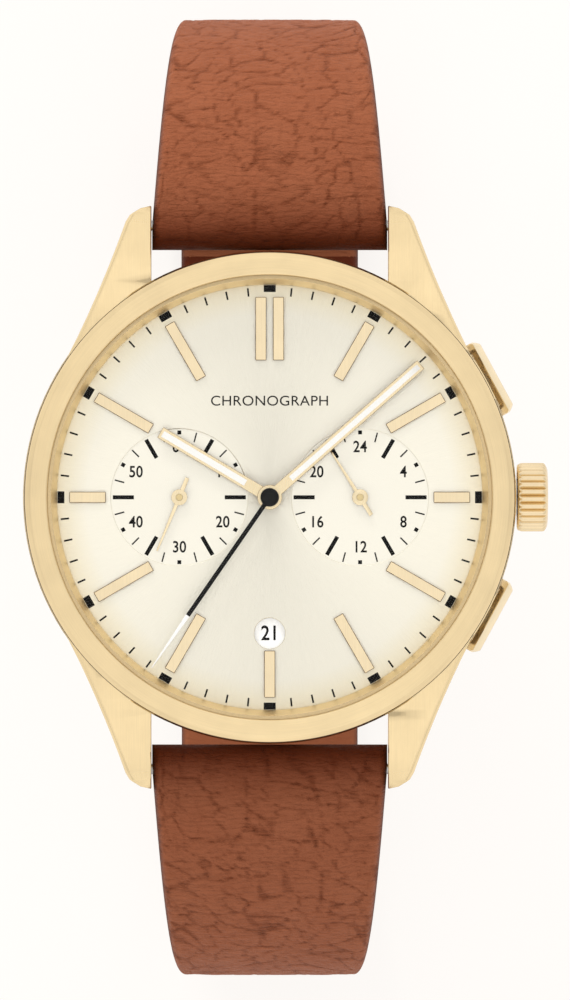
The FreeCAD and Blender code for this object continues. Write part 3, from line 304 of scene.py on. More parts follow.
def brushedGold(name, pattern, strength=0.8, rough=0.28, colour=goldSettings["colour"]):
    # Fine brush lines. "rings" follow circles about Z. "walls" follow Y and paint shade onto the side walls.
    # "case" follows Y on top and runs round the sides, with the slopes between them polished.
    material, start, shader = newMaterial(name, {"Metallic": 1.0})
    x, y, z = places(start)
    radius = (x * x + y * y).calc("SQRT")
    angle = y.calc("ARCTAN2", x)
    normal = start.node("ShaderNodeNewGeometry", out="True Normal")
    facing = start.node("ShaderNodeSeparateXYZ", {0: normal}, out=2)
    rings = noise(start, radius * 16.0, angle * 3.0, z * 16.0, 1.0, 3.0, 0.65)
    along = noise(start, x * 16.0, y * 0.25, z * 0.25, 1.0, 3.0, 0.65)
    if pattern == "rings":
        height, polish = rings, None
    elif pattern == "walls":
        height, polish = along, None
    else:
        up = facing.calc("ABSOLUTE")
        top = up.between(0.80, 0.88)
        side = 1.0 - up.between(0.12, 0.30)
        band = noise(start, angle * 2.0, z * 16.0, 0.0, 1.0, 3.0, 0.65)
        height = along * top + band * side
        polish = 1.0 - (top + side).calc("MINIMUM", 1.0)
    tone = noise(start, x * 0.35, y * 0.35, z * 0.35, 1.0, 2.0)
    paint = mottled(tone, 0.3, 0.75, colour, 0.96, 1.04)
    paint = timesGrey(start, paint, height.between(0.25, 0.75) * 0.10 + 0.92)
    if pattern == "walls":
        # Painted shade: faces that do not face up go dark brown, standing in for the shade along the sides of
        # hands and batons.
        paint = facing.between(0.95, 0.75).blend(paint, (0.20, 0.11, 0.04))
    roughness = height.between(0.2, 0.8) * 0.08 + rough
    if polish is not None:
        roughness = roughness - polish * (rough - goldSettings["polished"])
    feed(start, shader, {"Base Color": paint, "Roughness": roughness,
                         "Normal": bumped(start, height, strength, 0.00002)})
    return material


def polishedGold(name, rough=0.14, colour=goldSettings["colour"]):
    # Polished plating with faint hairlines and a slow change of tone.
    material, start, shader = newMaterial(name, {"Metallic": 1.0})
    x, y, z = places(start)
    tone = noise(start, x * 0.5, y * 0.5, z * 0.5, 1.0, 3.0)
    hair = noise(start, x * 9.0, y * 1.4, z * 9.0, 1.0, 4.0)
    paint = mottled(tone, 0.3, 0.75, colour, 0.95, 1.03)
    feed(start, shader, {"Base Color": paint, "Roughness": hair * 0.10 + (rough - 0.03),
                         "Normal": bumped(start, hair, 0.03, 0.00002)})
    return material


def plainStuff(name, colour, metallic, rough, grain=6.0, strength=0.05, shine=0.5, glow=0.0):
    # A plain finish with a fine grain in its colour, gloss and surface. A glow, where given, is painted
    # light: the piece gives off light in its own colour.
    material, start, shader = newMaterial(name, {"Metallic": metallic, "Specular IOR Level": shine})
    x, y, z = places(start)
    fine = noise(start, x * grain, y * grain, z * grain, 1.0, 4.0, 0.6)
    paint = mottled(fine, 0.25, 0.75, colour, 0.9, 1.08)
    feed(start, shader, {"Base Color": paint, "Roughness": fine * 0.12 + (rough - 0.06),
                         "Normal": bumped(start, fine, strength, 0.00003)})
    if glow:
        shader.inputs["Emission Color"].default_value = (*colour, 1)
        shader.inputs["Emission Strength"].default_value = glow
    return material


bezelGold = brushedGold("bezel gold circular brushed", "rings")
caseGold = brushedGold("case gold brushed with polished bevels", "case")
flangeGold = brushedGold("flange gold turned", "rings", 0.3, 0.42, (0.98, 0.77, 0.45))
brightGold = polishedGold("bright gold")
sideGold = polishedGold("side gold", 0.22, (0.83, 0.67, 0.43))
pusherGold = polishedGold("pusher gold", 0.34, (0.94, 0.80, 0.56))
handGold = brushedGold("hand gold", "walls", 0.1, 0.24, (0.94, 0.79, 0.52))
indexGold = brushedGold("index gold", "walls", 0.2, 0.30, (0.96, 0.80, 0.53))
steelPlain = plainStuff("plain steel", (0.62, 0.62, 0.63), 1.0, 0.32)
movementBrass = plainStuff("movement brass", (0.78, 0.62, 0.33), 1.0, 0.30)
slotMaterials = {
    "gold_brushed": caseGold, "gold_polished": brightGold, "hand_gold": handGold, "steel": steelPlain,
    "movement_brass": movementBrass,
    "gasket": plainStuff("black gasket rubber", (0.02, 0.02, 0.02), 0.0, 0.6),
    "crystal_seal": plainStuff("crystal seal nylon", (0.56, 0.42, 0.22), 0.0, 0.4),
    "holder": plainStuff("movement holder plastic", (0.78, 0.77, 0.72), 0.0, 0.5),
    "board": plainStuff("circuit board laminate", (0.04, 0.20, 0.08), 0.0, 0.4),
    "chip": plainStuff("moulded chip", (0.02, 0.02, 0.02), 0.0, 0.5),
    "copper": plainStuff("copper winding", (0.70, 0.28, 0.12), 1.0, 0.35, 12.0, 0.3),
    "magnet": plainStuff("soft iron and magnet", (0.20, 0.20, 0.21), 1.0, 0.45),
    # The date ring's glow is painted light, lifting it out of the shade in the deep date window.
    "date_print": plainStuff("date ring white", (0.95, 0.95, 0.94), 0.0, 0.45, glow=0.22),
    "leather": plainStuff("spare leather", (0.33, 0.11, 0.05), 0.0, 0.6),
    "hand_lume": plainStuff("hand lume", (0.86, 0.86, 0.84), 0.0, 0.55, 20.0, 0.1),
    "dial": plainStuff("dial underside", (0.7, 0.68, 0.6), 0.6, 0.4),
}

print("stage: case")
bezelLow, bezelHigh = boxMm("bezel")
bezelSettings = {"segments": 320, "bore": 18.92, "edge": 0.42, "round": 0.07, "innerRound": 0.12}


def makeBezel(cfg):
    outer, low, high, bore = bezelHigh[0], bezelLow[2], bezelHigh[2], cfg["bore"]
    profile = [(bore, low), (outer, low), (outer, high - cfg["edge"]), (outer - cfg["edge"], high - 0.06),
               (bore + cfg["innerRound"], high), (bore, high - cfg["innerRound"])]
    return stand(lathe("bezel_ring", eased(profile, cfg["round"]), [bezelGold], cfg["segments"]), "bezel")


makeBezel(bezelSettings)
seamMaterial = plainStuff("shadow in the bezel seam", (0.05, 0.028, 0.012), 0.3, 0.6)
seamSettings = {"inside": 0.02, "outside": 0.09, "low": 7.2, "high": 7.42}
seamIn, seamOut = bezelHigh[0] - seamSettings["inside"], bezelHigh[0] + seamSettings["outside"]
seamProfile = [(seamIn, seamSettings["low"]), (seamOut, seamSettings["low"]),
               (seamOut, seamSettings["high"]), (seamIn, seamSettings["high"])]
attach(lathe("bezel_seam", seamProfile, [seamMaterial], 320), "case")
flangeLow, flangeHigh = boxMm("flange_ring")
flangeSettings = {"bore": 18.17, "top": 0.28, "lip": 0.4}
flangeProfile = [(flangeSettings["bore"], flangeLow[2]), (flangeHigh[0], flangeLow[2]),
                 (flangeHigh[0], flangeHigh[2]), (flangeHigh[0] - flangeSettings["top"], flangeHigh[2]),
                 (flangeSettings["bore"], flangeLow[2] + flangeSettings["lip"])]
stand(lathe("rehaut_ring", eased(flangeProfile, 0.05), [flangeGold], 320), "flange_ring")
backLow, backHigh = boxMm("case_back")
backSettings = {"flat": 16.45, "edge": 0.6, "plate": 1.18, "bore": 17.28, "rim": 1.98, "rimInner": 16.43,
                "floor": 0.9, "groove": 14.6, "grooveDepth": 0.12}


def makeBack(cfg):
    # The outer face has one shallow turned groove, and a plain raised middle.
    g, d = cfg["groove"], cfg["grooveDepth"]
    profile = [(0, 0), (g - 0.5, 0), (g - 0.4, d), (g, d), (g + 0.1, 0), (cfg["flat"], 0),
               (backHigh[0], cfg["edge"]), (backHigh[0], cfg["plate"]), (cfg["bore"], cfg["plate"]),
               (cfg["bore"], cfg["rim"]), (cfg["rimInner"], cfg["rim"]), (cfg["rimInner"], cfg["floor"]),
               (0, cfg["floor"])]
    rounded = eased(profile, 0.08, closed=False)
    return stand(lathe("case_back_cover", rounded, [bezelGold], 256, closed=False), "case_back")


makeBack(backSettings)
lugSettings = {"wall": 21.07, "flank": 11.9, "foot": 3.2, "bar": (23.3, 2.5), "barRoom": 0.6,
               "bevel": 0.42, "bevelSegments": 4, "edge": 0.05}


def pastWall(corner):
    # Outside the round wall of the case, so on a lug.
    return math.hypot(corner.x, corner.y) > lugSettings["wall"]


def flankTop(*ends):
    # The outer top edge of a lug: off its inner face and above its foot.
    return all(pastWall(end) and abs(end.x) > lugSettings["flank"] and end.z > lugSettings["foot"]
               for end in ends)


def lugEdge(*ends):
    # The other edges of a lug, apart from the holes for the spring bars.
    barY, barZ = lugSettings["bar"]
    return all(pastWall(end) and math.hypot(abs(end.y) - barY, end.z - barZ) > lugSettings["barRoom"]
               for end in ends)


lugBevels = [(lugSettings["bevel"], lugSettings["bevelSegments"], flankTop),
             (lugSettings["edge"], 1, lugEdge)]
copied("mid_case", "case_middle", [caseGold], lugBevels, sharp=28, smoothAngle=32)

pusherSettings = {"half": 3.38, "inner": 20.85, "face": 22.08, "top": 1.6, "ridge": 21.5, "low": 1.42,
                  "scoop": 0.30, "scoopHalf": 2.35, "cut": 0.5, "rows": 90, "level": 4.2, "angle": 28.5}


def makePusher(name, node, side, cfg):
    # A bar across the case: a ridge with a bevel outside it and a scooped slope inside it.
    u = np.linspace(-1, 1, cfg["rows"])
    u = np.sin(u * np.pi / 2) * cfg["half"]
    end = np.clip((np.abs(u) - cfg["half"] + cfg["cut"]) / cfg["cut"], 0, 1)
    face = cfg["face"] - end ** 1.4 * 0.55
    scoop = cfg["scoop"] * (1 - np.clip((np.abs(u) - cfg["scoopHalf"]) / 0.45, 0, 1) ** 2)
    top = cfg["top"] - np.clip((np.abs(u) - cfg["half"] + 0.22) / 0.22, 0, 1) ** 2 * 0.22
    inner, ridge = np.full_like(u, cfg["inner"]), np.minimum(cfg["ridge"], face - 0.3)
    half = [(inner, 0 * u), (inner, cfg["low"] - scoop), (inner + 0.2, cfg["low"] - scoop + 0.02),
            (ridge - 0.08, top - 0.04), (ridge, top), (ridge + 0.07, top - 0.03), (face - 0.08, top - 0.52),
            (face, top - 0.66), (face, 0 * u)]
    loop = half + [(r, -h) for r, h in half[-2:0:-1]]
    radial, height = np.stack([r for r, h in loop], 1), np.stack([h + 0 * u for r, h in loop], 1)
    turn = math.radians(cfg["angle"] * side)
    x = radial * math.cos(turn) - u[:, None] * math.sin(turn)
    y = radial * math.sin(turn) + u[:, None] * math.cos(turn)
    points = np.stack([x, y, height + cfg["level"]], -1)
    rows, columns = points.shape[:2]
    middles = points[[0, -1]].mean(1)
    faces = gridFaces(rows, columns, False, True).tolist()
    for row, tip in ((0, rows * columns), ((rows - 1) * columns, rows * columns + 1)):
        faces += [(row + k, row + (k + 1) % columns, tip) for k in range(columns)]
    points = np.vstack([points.reshape(-1, 3), middles])
    return stand(meshPiece(name, points, faces, [pusherGold], 38), node)


makePusher("start_pusher_bar", "start_pusher_cap", 1, pusherSettings)
makePusher("reset_pusher_bar", "reset_pusher_cap", -1, pusherSettings)

print("stage: crystal")
crystalLow, crystalHigh = boxMm("crystal")
crystalMaterial, start, shader = newMaterial("mineral crystal", {
    "Base Color": (1, 1, 1), "Roughness": 0.03, "Metallic": 1.0})
edgeOn = start.node("ShaderNodeLayerWeight", {"Blend": 0.5}, out="Facing")
feed(start, shader, {"Alpha": edgeOn.calc("POWER", 5.0) * 0.85 + 0.003})
crystalSettings = {"bevel": 0.3, "rim": 0.36, "shoulder": 0.10, "flat": 12.0, "dome": 0.03, "round": 0.08}


def makeCrystal(cfg):
    # A disc with a bevelled rim and a very low dome.
    edge, base, top = crystalHigh[0], crystalLow[2], crystalHigh[2]
    profile = [(0, base), (edge, base), (edge, top - cfg["rim"]),
               (edge - cfg["bevel"], top - cfg["shoulder"]), (cfg["flat"], top - cfg["dome"]), (0, top)]
    rounded = eased(profile, cfg["round"], closed=False)
    return stand(lathe("crystal_glass", rounded, [crystalMaterial], closed=False), "crystal")


makeCrystal(crystalSettings)

print("stage: dial")
dialSettings = {"flat": 15.0, "rim": 18.84, "drop": 0.16, "segments": 320, "hole": 0.9, "rays": 42.0,
                "colour": (0.97, 0.935, 0.81), "warm": (0.96, 0.90, 0.72)}
indexLow, indexHigh = boxMm("hour_indices")
dialTop = indexLow[2]
subdials = {"left": (-7.72, 5.9), "right": (7.72, 5.9)}
windowPlace, windowRadius = (0.0, -11.62), 1.36
recessDepth = 0.12


def dialHeight(radius):
    # Flat to the start of the rim, then falling away as the square of the distance past it.
    past = np.clip((radius - dialSettings["flat"]) / (dialSettings["rim"] - dialSettings["flat"]), 0, 1)
    return dialTop - dialSettings["drop"] * past ** 2


def sunrayMaterial():
    # Lacquer over brushing that runs out from the middle, so the shine spreads round the dial.
    material, start, shader = newMaterial("cream sunray dial", {"Metallic": 0.78, "Coat Roughness": 0.08,
                                                                 "Specular IOR Level": 0.4})
    x, y, z = places(start)
    radius = (x * x + y * y).calc("SQRT")
    angle = y.calc("ARCTAN2", x)
    unit = start.node("ShaderNodeCombineXYZ", {0: x / radius, 1: y / radius, 2: radius * 0.004})
    rays = start.node("ShaderNodeTexNoise", {"Vector": unit, "Scale": dialSettings["rays"] * 4, "Detail": 3.0,
                                             "Roughness": 0.7})
    warm = radius.between(15.6, 17.2)
    paint = warm.blend(dialSettings["colour"], dialSettings["warm"])
    # Painted highlight: the base colour is lighter towards 3 and 9 and darker towards 12 and 6, standing in
    # for the sunray shine. The ray noise adds the brushing's own fine streaks.
    paintedSheen = (x * x - y * y) / (radius * radius)
    raysAndPaintedSheen = rays.between(0.25, 0.75) * 0.035 + paintedSheen * 0.045 + 0.93
    paint = timesGrey(start, paint, raysAndPaintedSheen)
    feed(start, shader, {"Base Color": paint, "Roughness": rays * 0.08 + 0.30,
                         "Normal": bumped(start, rays, 0.6, 0.00004)})
    shader.inputs["Coat Weight"].default_value = 0.25
    return material


def subdialMaterial(name, centreX):
    # Fine turned circles about the small dial's own middle.
    material, start, shader = newMaterial(name, {"Metallic": 0.72, "Coat Roughness": 0.08})
    x, y, z = places(start)
    x = x - centreX
    radius = (x * x + y * y).calc("SQRT")
    circles = (radius * 2 * math.pi * 6.0).calc("SINE")
    fine = noise(start, radius * 30.0, 0.0, 0.0, 1.0, 2.0)
    paint = fine.between(0.3, 0.7).blend((0.93, 0.90, 0.79), (0.96, 0.93, 0.82))
    feed(start, shader, {"Base Color": paint, "Roughness": fine * 0.05 + 0.30,
                         "Normal": bumped(start, circles, 0.10, 0.00001)})
    shader.inputs["Coat Weight"].default_value = 0.25
    return material


def filledOutline(name, loops, height, material):
    # A flat sheet between outlines: the first is its edge and the others are holes in it.
    curve = bpy.data.curves.new(name, "CURVE")
    curve.dimensions = "2D"
    curve.fill_mode = "BOTH"
    for loop in loops:
        spline = curve.splines.new("POLY")
        spline.points.add(len(loop) - 1)
        flat = np.column_stack([loop * mm, np.zeros(len(loop)), np.ones(len(loop))])
        spline.points.foreach_set("co", flat.ravel())
        spline.use_cyclic_u = True
    holder = bpy.data.objects.new(name, curve)
    mesh = bpy.data.meshes.new_from_object(holder)
    bpy.data.objects.remove(holder)
    mesh.transform(Matrix.Translation((0, 0, height * mm)))
    return settle(name, mesh, [material], 30)


def circle(centre, radius, count):
    turn = np.linspace(0, 2 * np.pi, count, endpoint=False)
    return np.column_stack([centre[0] + radius * np.cos(turn), centre[1] + radius * np.sin(turn)])


def joinPieces(pieces, name):
    # Joins finished pieces into the first one and renames it.
    with bpy.context.temp_override(active_object=pieces[0], object=pieces[0], selected_objects=pieces,
                                   selected_editable_objects=pieces):
        bpy.ops.object.join()
    pieces[0].name = name
    pieces[0].data.name = name
    return pieces[0]


def makeDial(cfg):
    material = sunrayMaterial()
    loops = [circle((0, 0), cfg["flat"], cfg["segments"]), circle((0, 0), cfg["hole"], 48),
             circle(windowPlace, windowRadius, 96)]
    loops += [circle((x, 0), radius, 192) for x, radius in subdials.values()]
    parts = [filledOutline("dial_flat", loops, dialTop, material)]
    past = np.linspace(cfg["flat"], cfg["rim"], 14)
    low = dialTop - 0.45
    edge = np.vstack([np.column_stack([past, dialHeight(past)]), [(cfg["rim"], low), (cfg["flat"], low)]])
    parts.append(lathe("dial_edge", edge, [material], cfg["segments"], closed=False))
    holes = [circle((x, 0), 0.34, 48) for x, radius in subdials.values()]
    under = filledOutline("dial_under", loops[:3] + holes, low, material)
    under.data.flip_normals()
    parts.append(under)
    hole = [(cfg["hole"], dialTop), (cfg["hole"], low)]
    parts.append(lathe("dial_hole", hole, [material], 48, closed=False))
    for side, (x, radius) in subdials.items():
        floor = dialTop - recessDepth
        profile = [(radius, dialTop), (radius - 0.03, dialTop - 0.02), (radius - 0.07, floor), (0.34, floor),
                   (0.34, low)]
        small = subdialMaterial("small dial turned " + side, x)
        parts.append(lathe("dial_small_" + side, profile, [small], 192, closed=False, centre=(x, 0)))
    window = [(windowRadius, dialTop), (windowRadius - 0.05, dialTop - 0.05), (windowRadius - 0.05, low)]
    parts.append(lathe("dial_window", window, [material], 96, closed=False, centre=windowPlace))
    return stand(joinPieces(parts, "dial_plate"), "dial")


makeDial(dialSettings)
copied("hour_indices", "applied_batons", [indexGold], [(0.045, 1, None)], sharp=40)

print("stage: printing")
inkMaterial = plainStuff("black dial ink", (0.006, 0.006, 0.006), 0.0, 0.45, 30.0, 0.05, 0.08)
printSettings = {"lift": 0.012, "thick": 0.02}


def quadPatches(name, centres, angles, lengths, widths, heights, material):
    # Small flat bars: each has a middle, an angle clockwise from 12, a length along it and a width.
    centres, angles = np.asarray(centres, float), np.radians(np.asarray(angles, float))
    along = np.column_stack([np.sin(angles), np.cos(angles)]) * (np.asarray(lengths, float)[:, None] / 2)
    across = np.column_stack([np.cos(angles), -np.sin(angles)]) * (np.asarray(widths, float)[:, None] / 2)
    corners = np.stack([centres - along - across, centres - along + across, centres + along + across,
                        centres + along - across], 1)
    top = np.asarray(heights, float)[:, None, None] * np.ones((1, 4, 1))
    points = np.concatenate([np.concatenate([corners, top], 2),
                             np.concatenate([corners, top - printSettings["thick"]], 2)], 1)
    box = np.array([(0, 1, 2, 3), (7, 6, 5, 4), (4, 5, 1, 0), (5, 6, 2, 1), (6, 7, 3, 2), (7, 4, 0, 3)])
    faces = (np.arange(len(centres))[:, None, None] * 8 + box[None]).reshape(-1, 4)
    return meshPiece(name, points, faces, [material], 30)


def ringOfBars(angles, radius, length, width, centre=(0, 0)):
    # The middle, angle, length and width of bars standing round a circle.
    angles = np.asarray(angles, float)
    turn = np.radians(angles)
    middle = np.column_stack([centre[0] + radius * np.sin(turn), centre[1] + radius * np.cos(turn)])
    return middle, angles, np.full(len(angles), length), np.full(len(angles), width)


def printRings(name, rings, height):
    middles, angles, lengths, widths = [np.concatenate(column) for column in zip(*rings)]
    if height is None:
        levels = dialHeight(np.linalg.norm(middles, axis=1) + lengths / 2) + 0.04
    else:
        levels = np.full(len(middles), height)
    return quadPatches(name, middles, angles, lengths, widths, levels, inkMaterial)


hourMarks = np.arange(0, 360, 30)
minuteMarks = np.setdiff1d(np.arange(0, 360, 6), hourMarks)
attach(printRings("minute_track", [ringOfBars(hourMarks, 17.83, 0.59, 1.02),
                                    ringOfBars(minuteMarks, 17.52, 0.86, 0.15)], None), "case")
for side, (x, radius) in subdials.items():
    rings = [ringOfBars(np.arange(0, 360, 60), 5.54, 0.33, 0.33, (x, 0)),
             ringOfBars(np.arange(30, 360, 60), 4.78, 1.80, 0.34, (x, 0)),
             ringOfBars(np.arange(15, 360, 30), 5.29, 0.84, 0.12, (x, 0))]
    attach(printRings("small_dial_track_" + side, rings, dialTop - recessDepth + 0.02), "case")


def lettering(name, words, material, thick=0.0):
    # Text is filled outlines, made a mesh, then put in place: (text, x, y, height, size, width).
    parts = []
    for number, (text, x, y, height, size, wide) in enumerate(words):
        curve = bpy.data.curves.new("text", "FONT")
        curve.body = text
        curve.align_x, curve.align_y = "CENTER", "CENTER"
        curve.size = size * mm
        curve.space_character = 1.04
        curve.offset = thick * mm
        holder = bpy.data.objects.new("text", curve)
        mesh = bpy.data.meshes.new_from_object(holder)
        bpy.data.objects.remove(holder)
        mesh.transform(Matrix.Diagonal((wide, 1, 1, 1)))
        mesh.transform(Matrix.Translation((x * mm, y * mm, height * mm)))
        parts.append(settle("%s_%d" % (name, number), mesh, [material], 30))
    return joinPieces(parts, name)


def numeralsRound(centreX, numbers, radius, size):
    turn = np.linspace(0, 2 * np.pi, len(numbers), endpoint=False)
    level = dialTop - recessDepth + 0.02
    return [(text, centreX + radius * math.sin(a), radius * math.cos(a), level, size, 0.86)
            for text, a in zip(numbers, turn)]


words = numeralsRound(-7.72, ("60", "10", "20", "30", "40", "50"), 4.28, 1.36)
words += numeralsRound(7.72, ("24", "4", "8", "12", "16", "20"), 4.28, 1.36)
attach(lettering("small_dial_numerals", words, inkMaterial, 0.022), "case")
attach(lettering("dial_word", [("CHRONOGRAPH", 0, 8.2, dialTop + 0.02, 1.22, 1.05)], inkMaterial), "case")
dateLow, dateHigh = boxMm("date_ring")
dateWord = [("21", 0.02, -11.66, dateHigh[2] + 0.02, 1.75, 0.86)]
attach(lettering("date_number", dateWord, inkMaterial, 0.03), "date")

print("stage: hands")
for nodeName in ("hour_hand", "minute_hand"):
    copied(nodeName, nodeName + "_bevelled", [handGold], [(0.05, 2, None)], sharp=40)
for nodeName in ("minute_counter_hand", "day_counter_hand"):
    copied(nodeName, nodeName + "_bevelled", [handGold], [(0.04, 2, None)], sharp=40)
blackHand, start, shader = newMaterial("seconds hand black and white", {
    "Metallic": 0.0, "Specular IOR Level": 0.12})
x, y, z = places(start)
tip = (x * x + y * y).calc("SQRT").between(12.24, 12.30)
speckle = noise(start, x * 20.0, y * 20.0, z * 20.0)
feed(start, shader, {"Base Color": tip.blend((0.007, 0.007, 0.007), (0.90, 0.90, 0.89)),
                     "Roughness": speckle * 0.1 + 0.25})
copied("seconds_hand", "seconds_hand_bevelled", [blackHand], [(0.04, 2, None)], sharp=40)

print("stage: crown")
crownLow, crownHigh = boxMm("crown")
crownSettings = {"flutes": 27, "depth": 0.36, "round": 0.252, "rows": 80, "perFlute": 14,
                 "bore": 1.6, "rim": 0.16, "fade": 0.18}


def makeCrown(cfg):
    # Radius falls by the flute's depth between ridges, and the flutes fade out in rounded rims.
    centreZ = (crownLow[2] + crownHigh[2]) / 2
    radius, start, end = (crownHigh[2] - crownLow[2]) / 2, crownLow[0], crownHigh[0]
    outline = [(cfg["bore"], start), (radius - 0.16, start), (radius - 0.02, start + 0.3),
               (radius, start + 0.5), (radius, end - 0.5), (radius - 0.02, end - 0.3),
               (radius - 0.5, end - 0.02), (0, end)]
    profile = eased(outline, cfg["round"], 7, closed=False)
    reach = np.concatenate([[0], np.cumsum(np.linalg.norm(np.diff(profile, axis=0), axis=1))])
    even = np.linspace(0, reach[-1], cfg["rows"])
    profile = np.column_stack([np.interp(even, reach, profile[:, k]) for k in range(2)])
    turn = np.linspace(0, 2 * np.pi, cfg["flutes"] * cfg["perFlute"], endpoint=False)
    groove = 1 - np.abs(np.cos(turn * cfg["flutes"] / 2)) ** 0.8
    inside = (np.clip((profile[:, 1] - start - cfg["rim"]) / cfg["fade"], 0, 1)
              * np.clip((end - cfg["rim"] - profile[:, 1]) / cfg["fade"], 0, 1))
    outside = np.clip((profile[:, 0] - radius + 0.5) / 0.3, 0, 1)
    r = profile[:, :1] - (inside * outside)[:, None] * groove[None] * cfg["depth"]
    along = np.repeat(profile[:, 1:], len(turn), 1)
    points = np.stack([along, r * np.cos(turn), r * np.sin(turn) + centreZ], -1)
    faces = gridFaces(len(profile), len(turn), False, True)
    piece = meshPiece("crown_fluted", points, faces, [sideGold], 60)
    return stand(piece, "crown")


makeCrown(crownSettings)

print("stage: leather")
leatherSettings = {"colour": (0.298, 0.092, 0.041), "dark": (0.135, 0.026, 0.006),
                   "light": (0.345, 0.116, 0.055), "edge": (0.095, 0.026, 0.014),
                   # The last colour is painted shade, used on the strap's roll next to the case.
                   "lining": (0.29, 0.094, 0.042), "paintedShadeColour": (0.090, 0.011, 0.0008)}


def leatherMaterial():
    # Pebbled calf: pores and creases over the modelled cells, a painted edge, a smoother lining, and painted
    # shade on the roll by the lugs, where the case shades the leather.
    material, start, shader = newMaterial("tan pebbled leather", {
        "Metallic": 0.0, "Specular IOR Level": 0.12, "Sheen Weight": 0.02, "Sheen Roughness": 0.4})
    cfg = leatherSettings
    uv = start.node("ShaderNodeUVMap", uv_map="surface")
    cells = start.node("ShaderNodeTexVoronoi", {"Vector": uv, "Scale": 11.0, "Randomness": 0.95},
                       feature="F1")
    split = start.node("ShaderNodeSeparateXYZ", {0: uv})
    across, along = split, Wire(start.tree, split.socket.node.outputs[1])
    stretched = start.node("ShaderNodeCombineXYZ", {0: across * 9.0, 1: along * 34.0})
    wrinkle = start.node("ShaderNodeTexNoise", {"Vector": stretched, "Scale": 1.0, "Detail": 5.0,
                                                "Roughness": 0.6, "Distortion": 0.9})
    pores = start.node("ShaderNodeTexNoise", {"Vector": uv, "Scale": 90.0, "Detail": 2.0})
    cloud = start.node("ShaderNodeTexNoise", {"Vector": uv, "Scale": 1.6, "Detail": 3.0})
    height = start.node("ShaderNodeAttribute", attribute_name="pebble", out="Fac")
    edge = start.node("ShaderNodeAttribute", attribute_name="edge", out="Fac")
    lining = start.node("ShaderNodeAttribute", attribute_name="lining", out="Fac")
    paintedRollShade = start.node("ShaderNodeAttribute", attribute_name="paintedRollShade", out="Fac")
    creased = 1.0 - height.between(0.0, 0.85)
    lines = (1.0 - wrinkle.between(0.34, 0.47)) * (creased * 0.85 + 0.16)
    paint = (cloud.between(0.40, 0.75) * 0.5).blend(cfg["colour"], cfg["light"])
    # Darker in the creases, wrinkles and pores: partly the leather's own deeper tone there, partly painted
    # shade in the hollows.
    paint = (creased * 0.60).blend(paint, cfg["dark"])
    paint = (lines * 0.90).blend(paint, cfg["dark"])
    paint = (pores.between(0.55, 0.75) * 0.25).blend(paint, cfg["dark"])
    paint = lining.blend(paint, cfg["lining"])
    # Painted shade: the leather turns deep brown on the roll by the lugs, standing in for the shade the case
    # casts there.
    paint = paintedRollShade.blend(paint, cfg["paintedShadeColour"])
    paint = edge.blend(paint, cfg["edge"])
    rough = 0.50 + pores * 0.16 + (1.0 - height) * 0.08
    relief = cells * 0.25 + wrinkle.between(0.30, 0.60) * (creased * 0.9 + 0.55) + pores * 0.35
    calm = 1.0 - lining * 0.6
    feed(start, shader, {"Base Color": paint, "Roughness": rough,
                         "Normal": bumped(start, relief * calm, 0.9, 0.00014)})
    return material


leather = leatherMaterial()


def cellField(u, v, size, seed):
    # Scattered points, one to a cell: how much nearer the nearest is than the next, 0 on a crease.
    table = np.random.RandomState(seed).rand(64, 64, 2)
    u, v = u / size[0], v / size[1]
    column, row = np.floor(u).astype(int), np.floor(v).astype(int)
    distances = []
    for du in (-1, 0, 1):
        for dv in (-1, 0, 1):
            a, b = column + du, row + dv
            spot = table[a % 64, b % 64]
            distances.append(np.hypot(a + spot[..., 0] - u, b + spot[..., 1] - v))
    distances = np.sort(np.stack(distances), 0)
    return distances[1] - distances[0]


def eased3(value):
    # The smooth step 3v^2 - 2v^3.
    return value * value * (3 - 2 * value)


def pebbles(x, s, seed):
    # Uneven cells, wider across the strap than along it, with a slow warp and two sizes mixed.
    warpX = 0.9 * np.sin(s * 0.55 + 1.3 * np.sin(x * 0.31)) + 0.5 * np.sin(x * 0.9 + s * 0.21)
    warpS = 0.8 * np.sin(x * 0.47 + 1.1 * np.sin(s * 0.27)) + 0.4 * np.sin(s * 1.1)
    large = np.clip(cellField(x + warpX + 400, s + warpS + 400, (2.3, 1.7), seed) / 0.20, 0, 1)
    small = np.clip(cellField(x + warpX + 400, s + warpS + 400, (1.1, 0.6), seed + 1) / 0.30, 0, 1)
    patches = np.sin(x * 0.83 + 1.7 * np.sin(s * 0.41)) * np.sin(s * 0.71 + 1.2 * np.sin(x * 0.53))
    present = 0.72 + 0.28 * patches
    return 1 - 0.70 * present * (1 - eased3(large)) - 0.30 * (1 - eased3(small))


strapSettings = {"step": 0.25, "topColumns": 86, "underColumns": 30, "crease": 1.7, "edgeRound": 0.75,
                 "shoulder": 0.80, "relief": 0.12, "bar": (23.3, 2.5), "roll": 2.1, "reach": 41.7,
                 "side": 3.4,
                 # The last value is the reach in mm over which the painted shade by the lugs fades.
                 "half": 10.08, "narrow": 7.98, "taperStart": 3.3, "taperLength": 29.0, "paintedRollShade": 3.6,
                 "swellEnd": 26.0}


def arc(centre, radius, first, last, step):
    # Points round an arc, angles in degrees.
    count = max(6, int(abs(math.radians(last - first)) * radius / step))
    turn = np.radians(np.linspace(first, last, count))
    return np.column_stack([centre[0] + radius * np.cos(turn), centre[1] + radius * np.sin(turn)])


def paired(runs, step):
    # Each run gives an outer and an inner line; both are cut into the same number of points.
    outer, inner = [], []
    for one, other in runs:
        count = max(8, int(np.linalg.norm(np.diff(one, axis=0), axis=1).sum() / step))
        for line, kept in ((one, outer), (other, inner)):
            reach = np.concatenate([[0], np.cumsum(np.linalg.norm(np.diff(line, axis=0), axis=1))])
            even = np.linspace(0, reach[-1], count)
            kept.append(np.column_stack([np.interp(even, reach, line[:, k]) for k in range(2)])[:-1])
    outer.append(runs[-1][0][-1:])
    inner.append(runs[-1][1][-1:])
    return np.vstack(outer), np.vstack(inner)


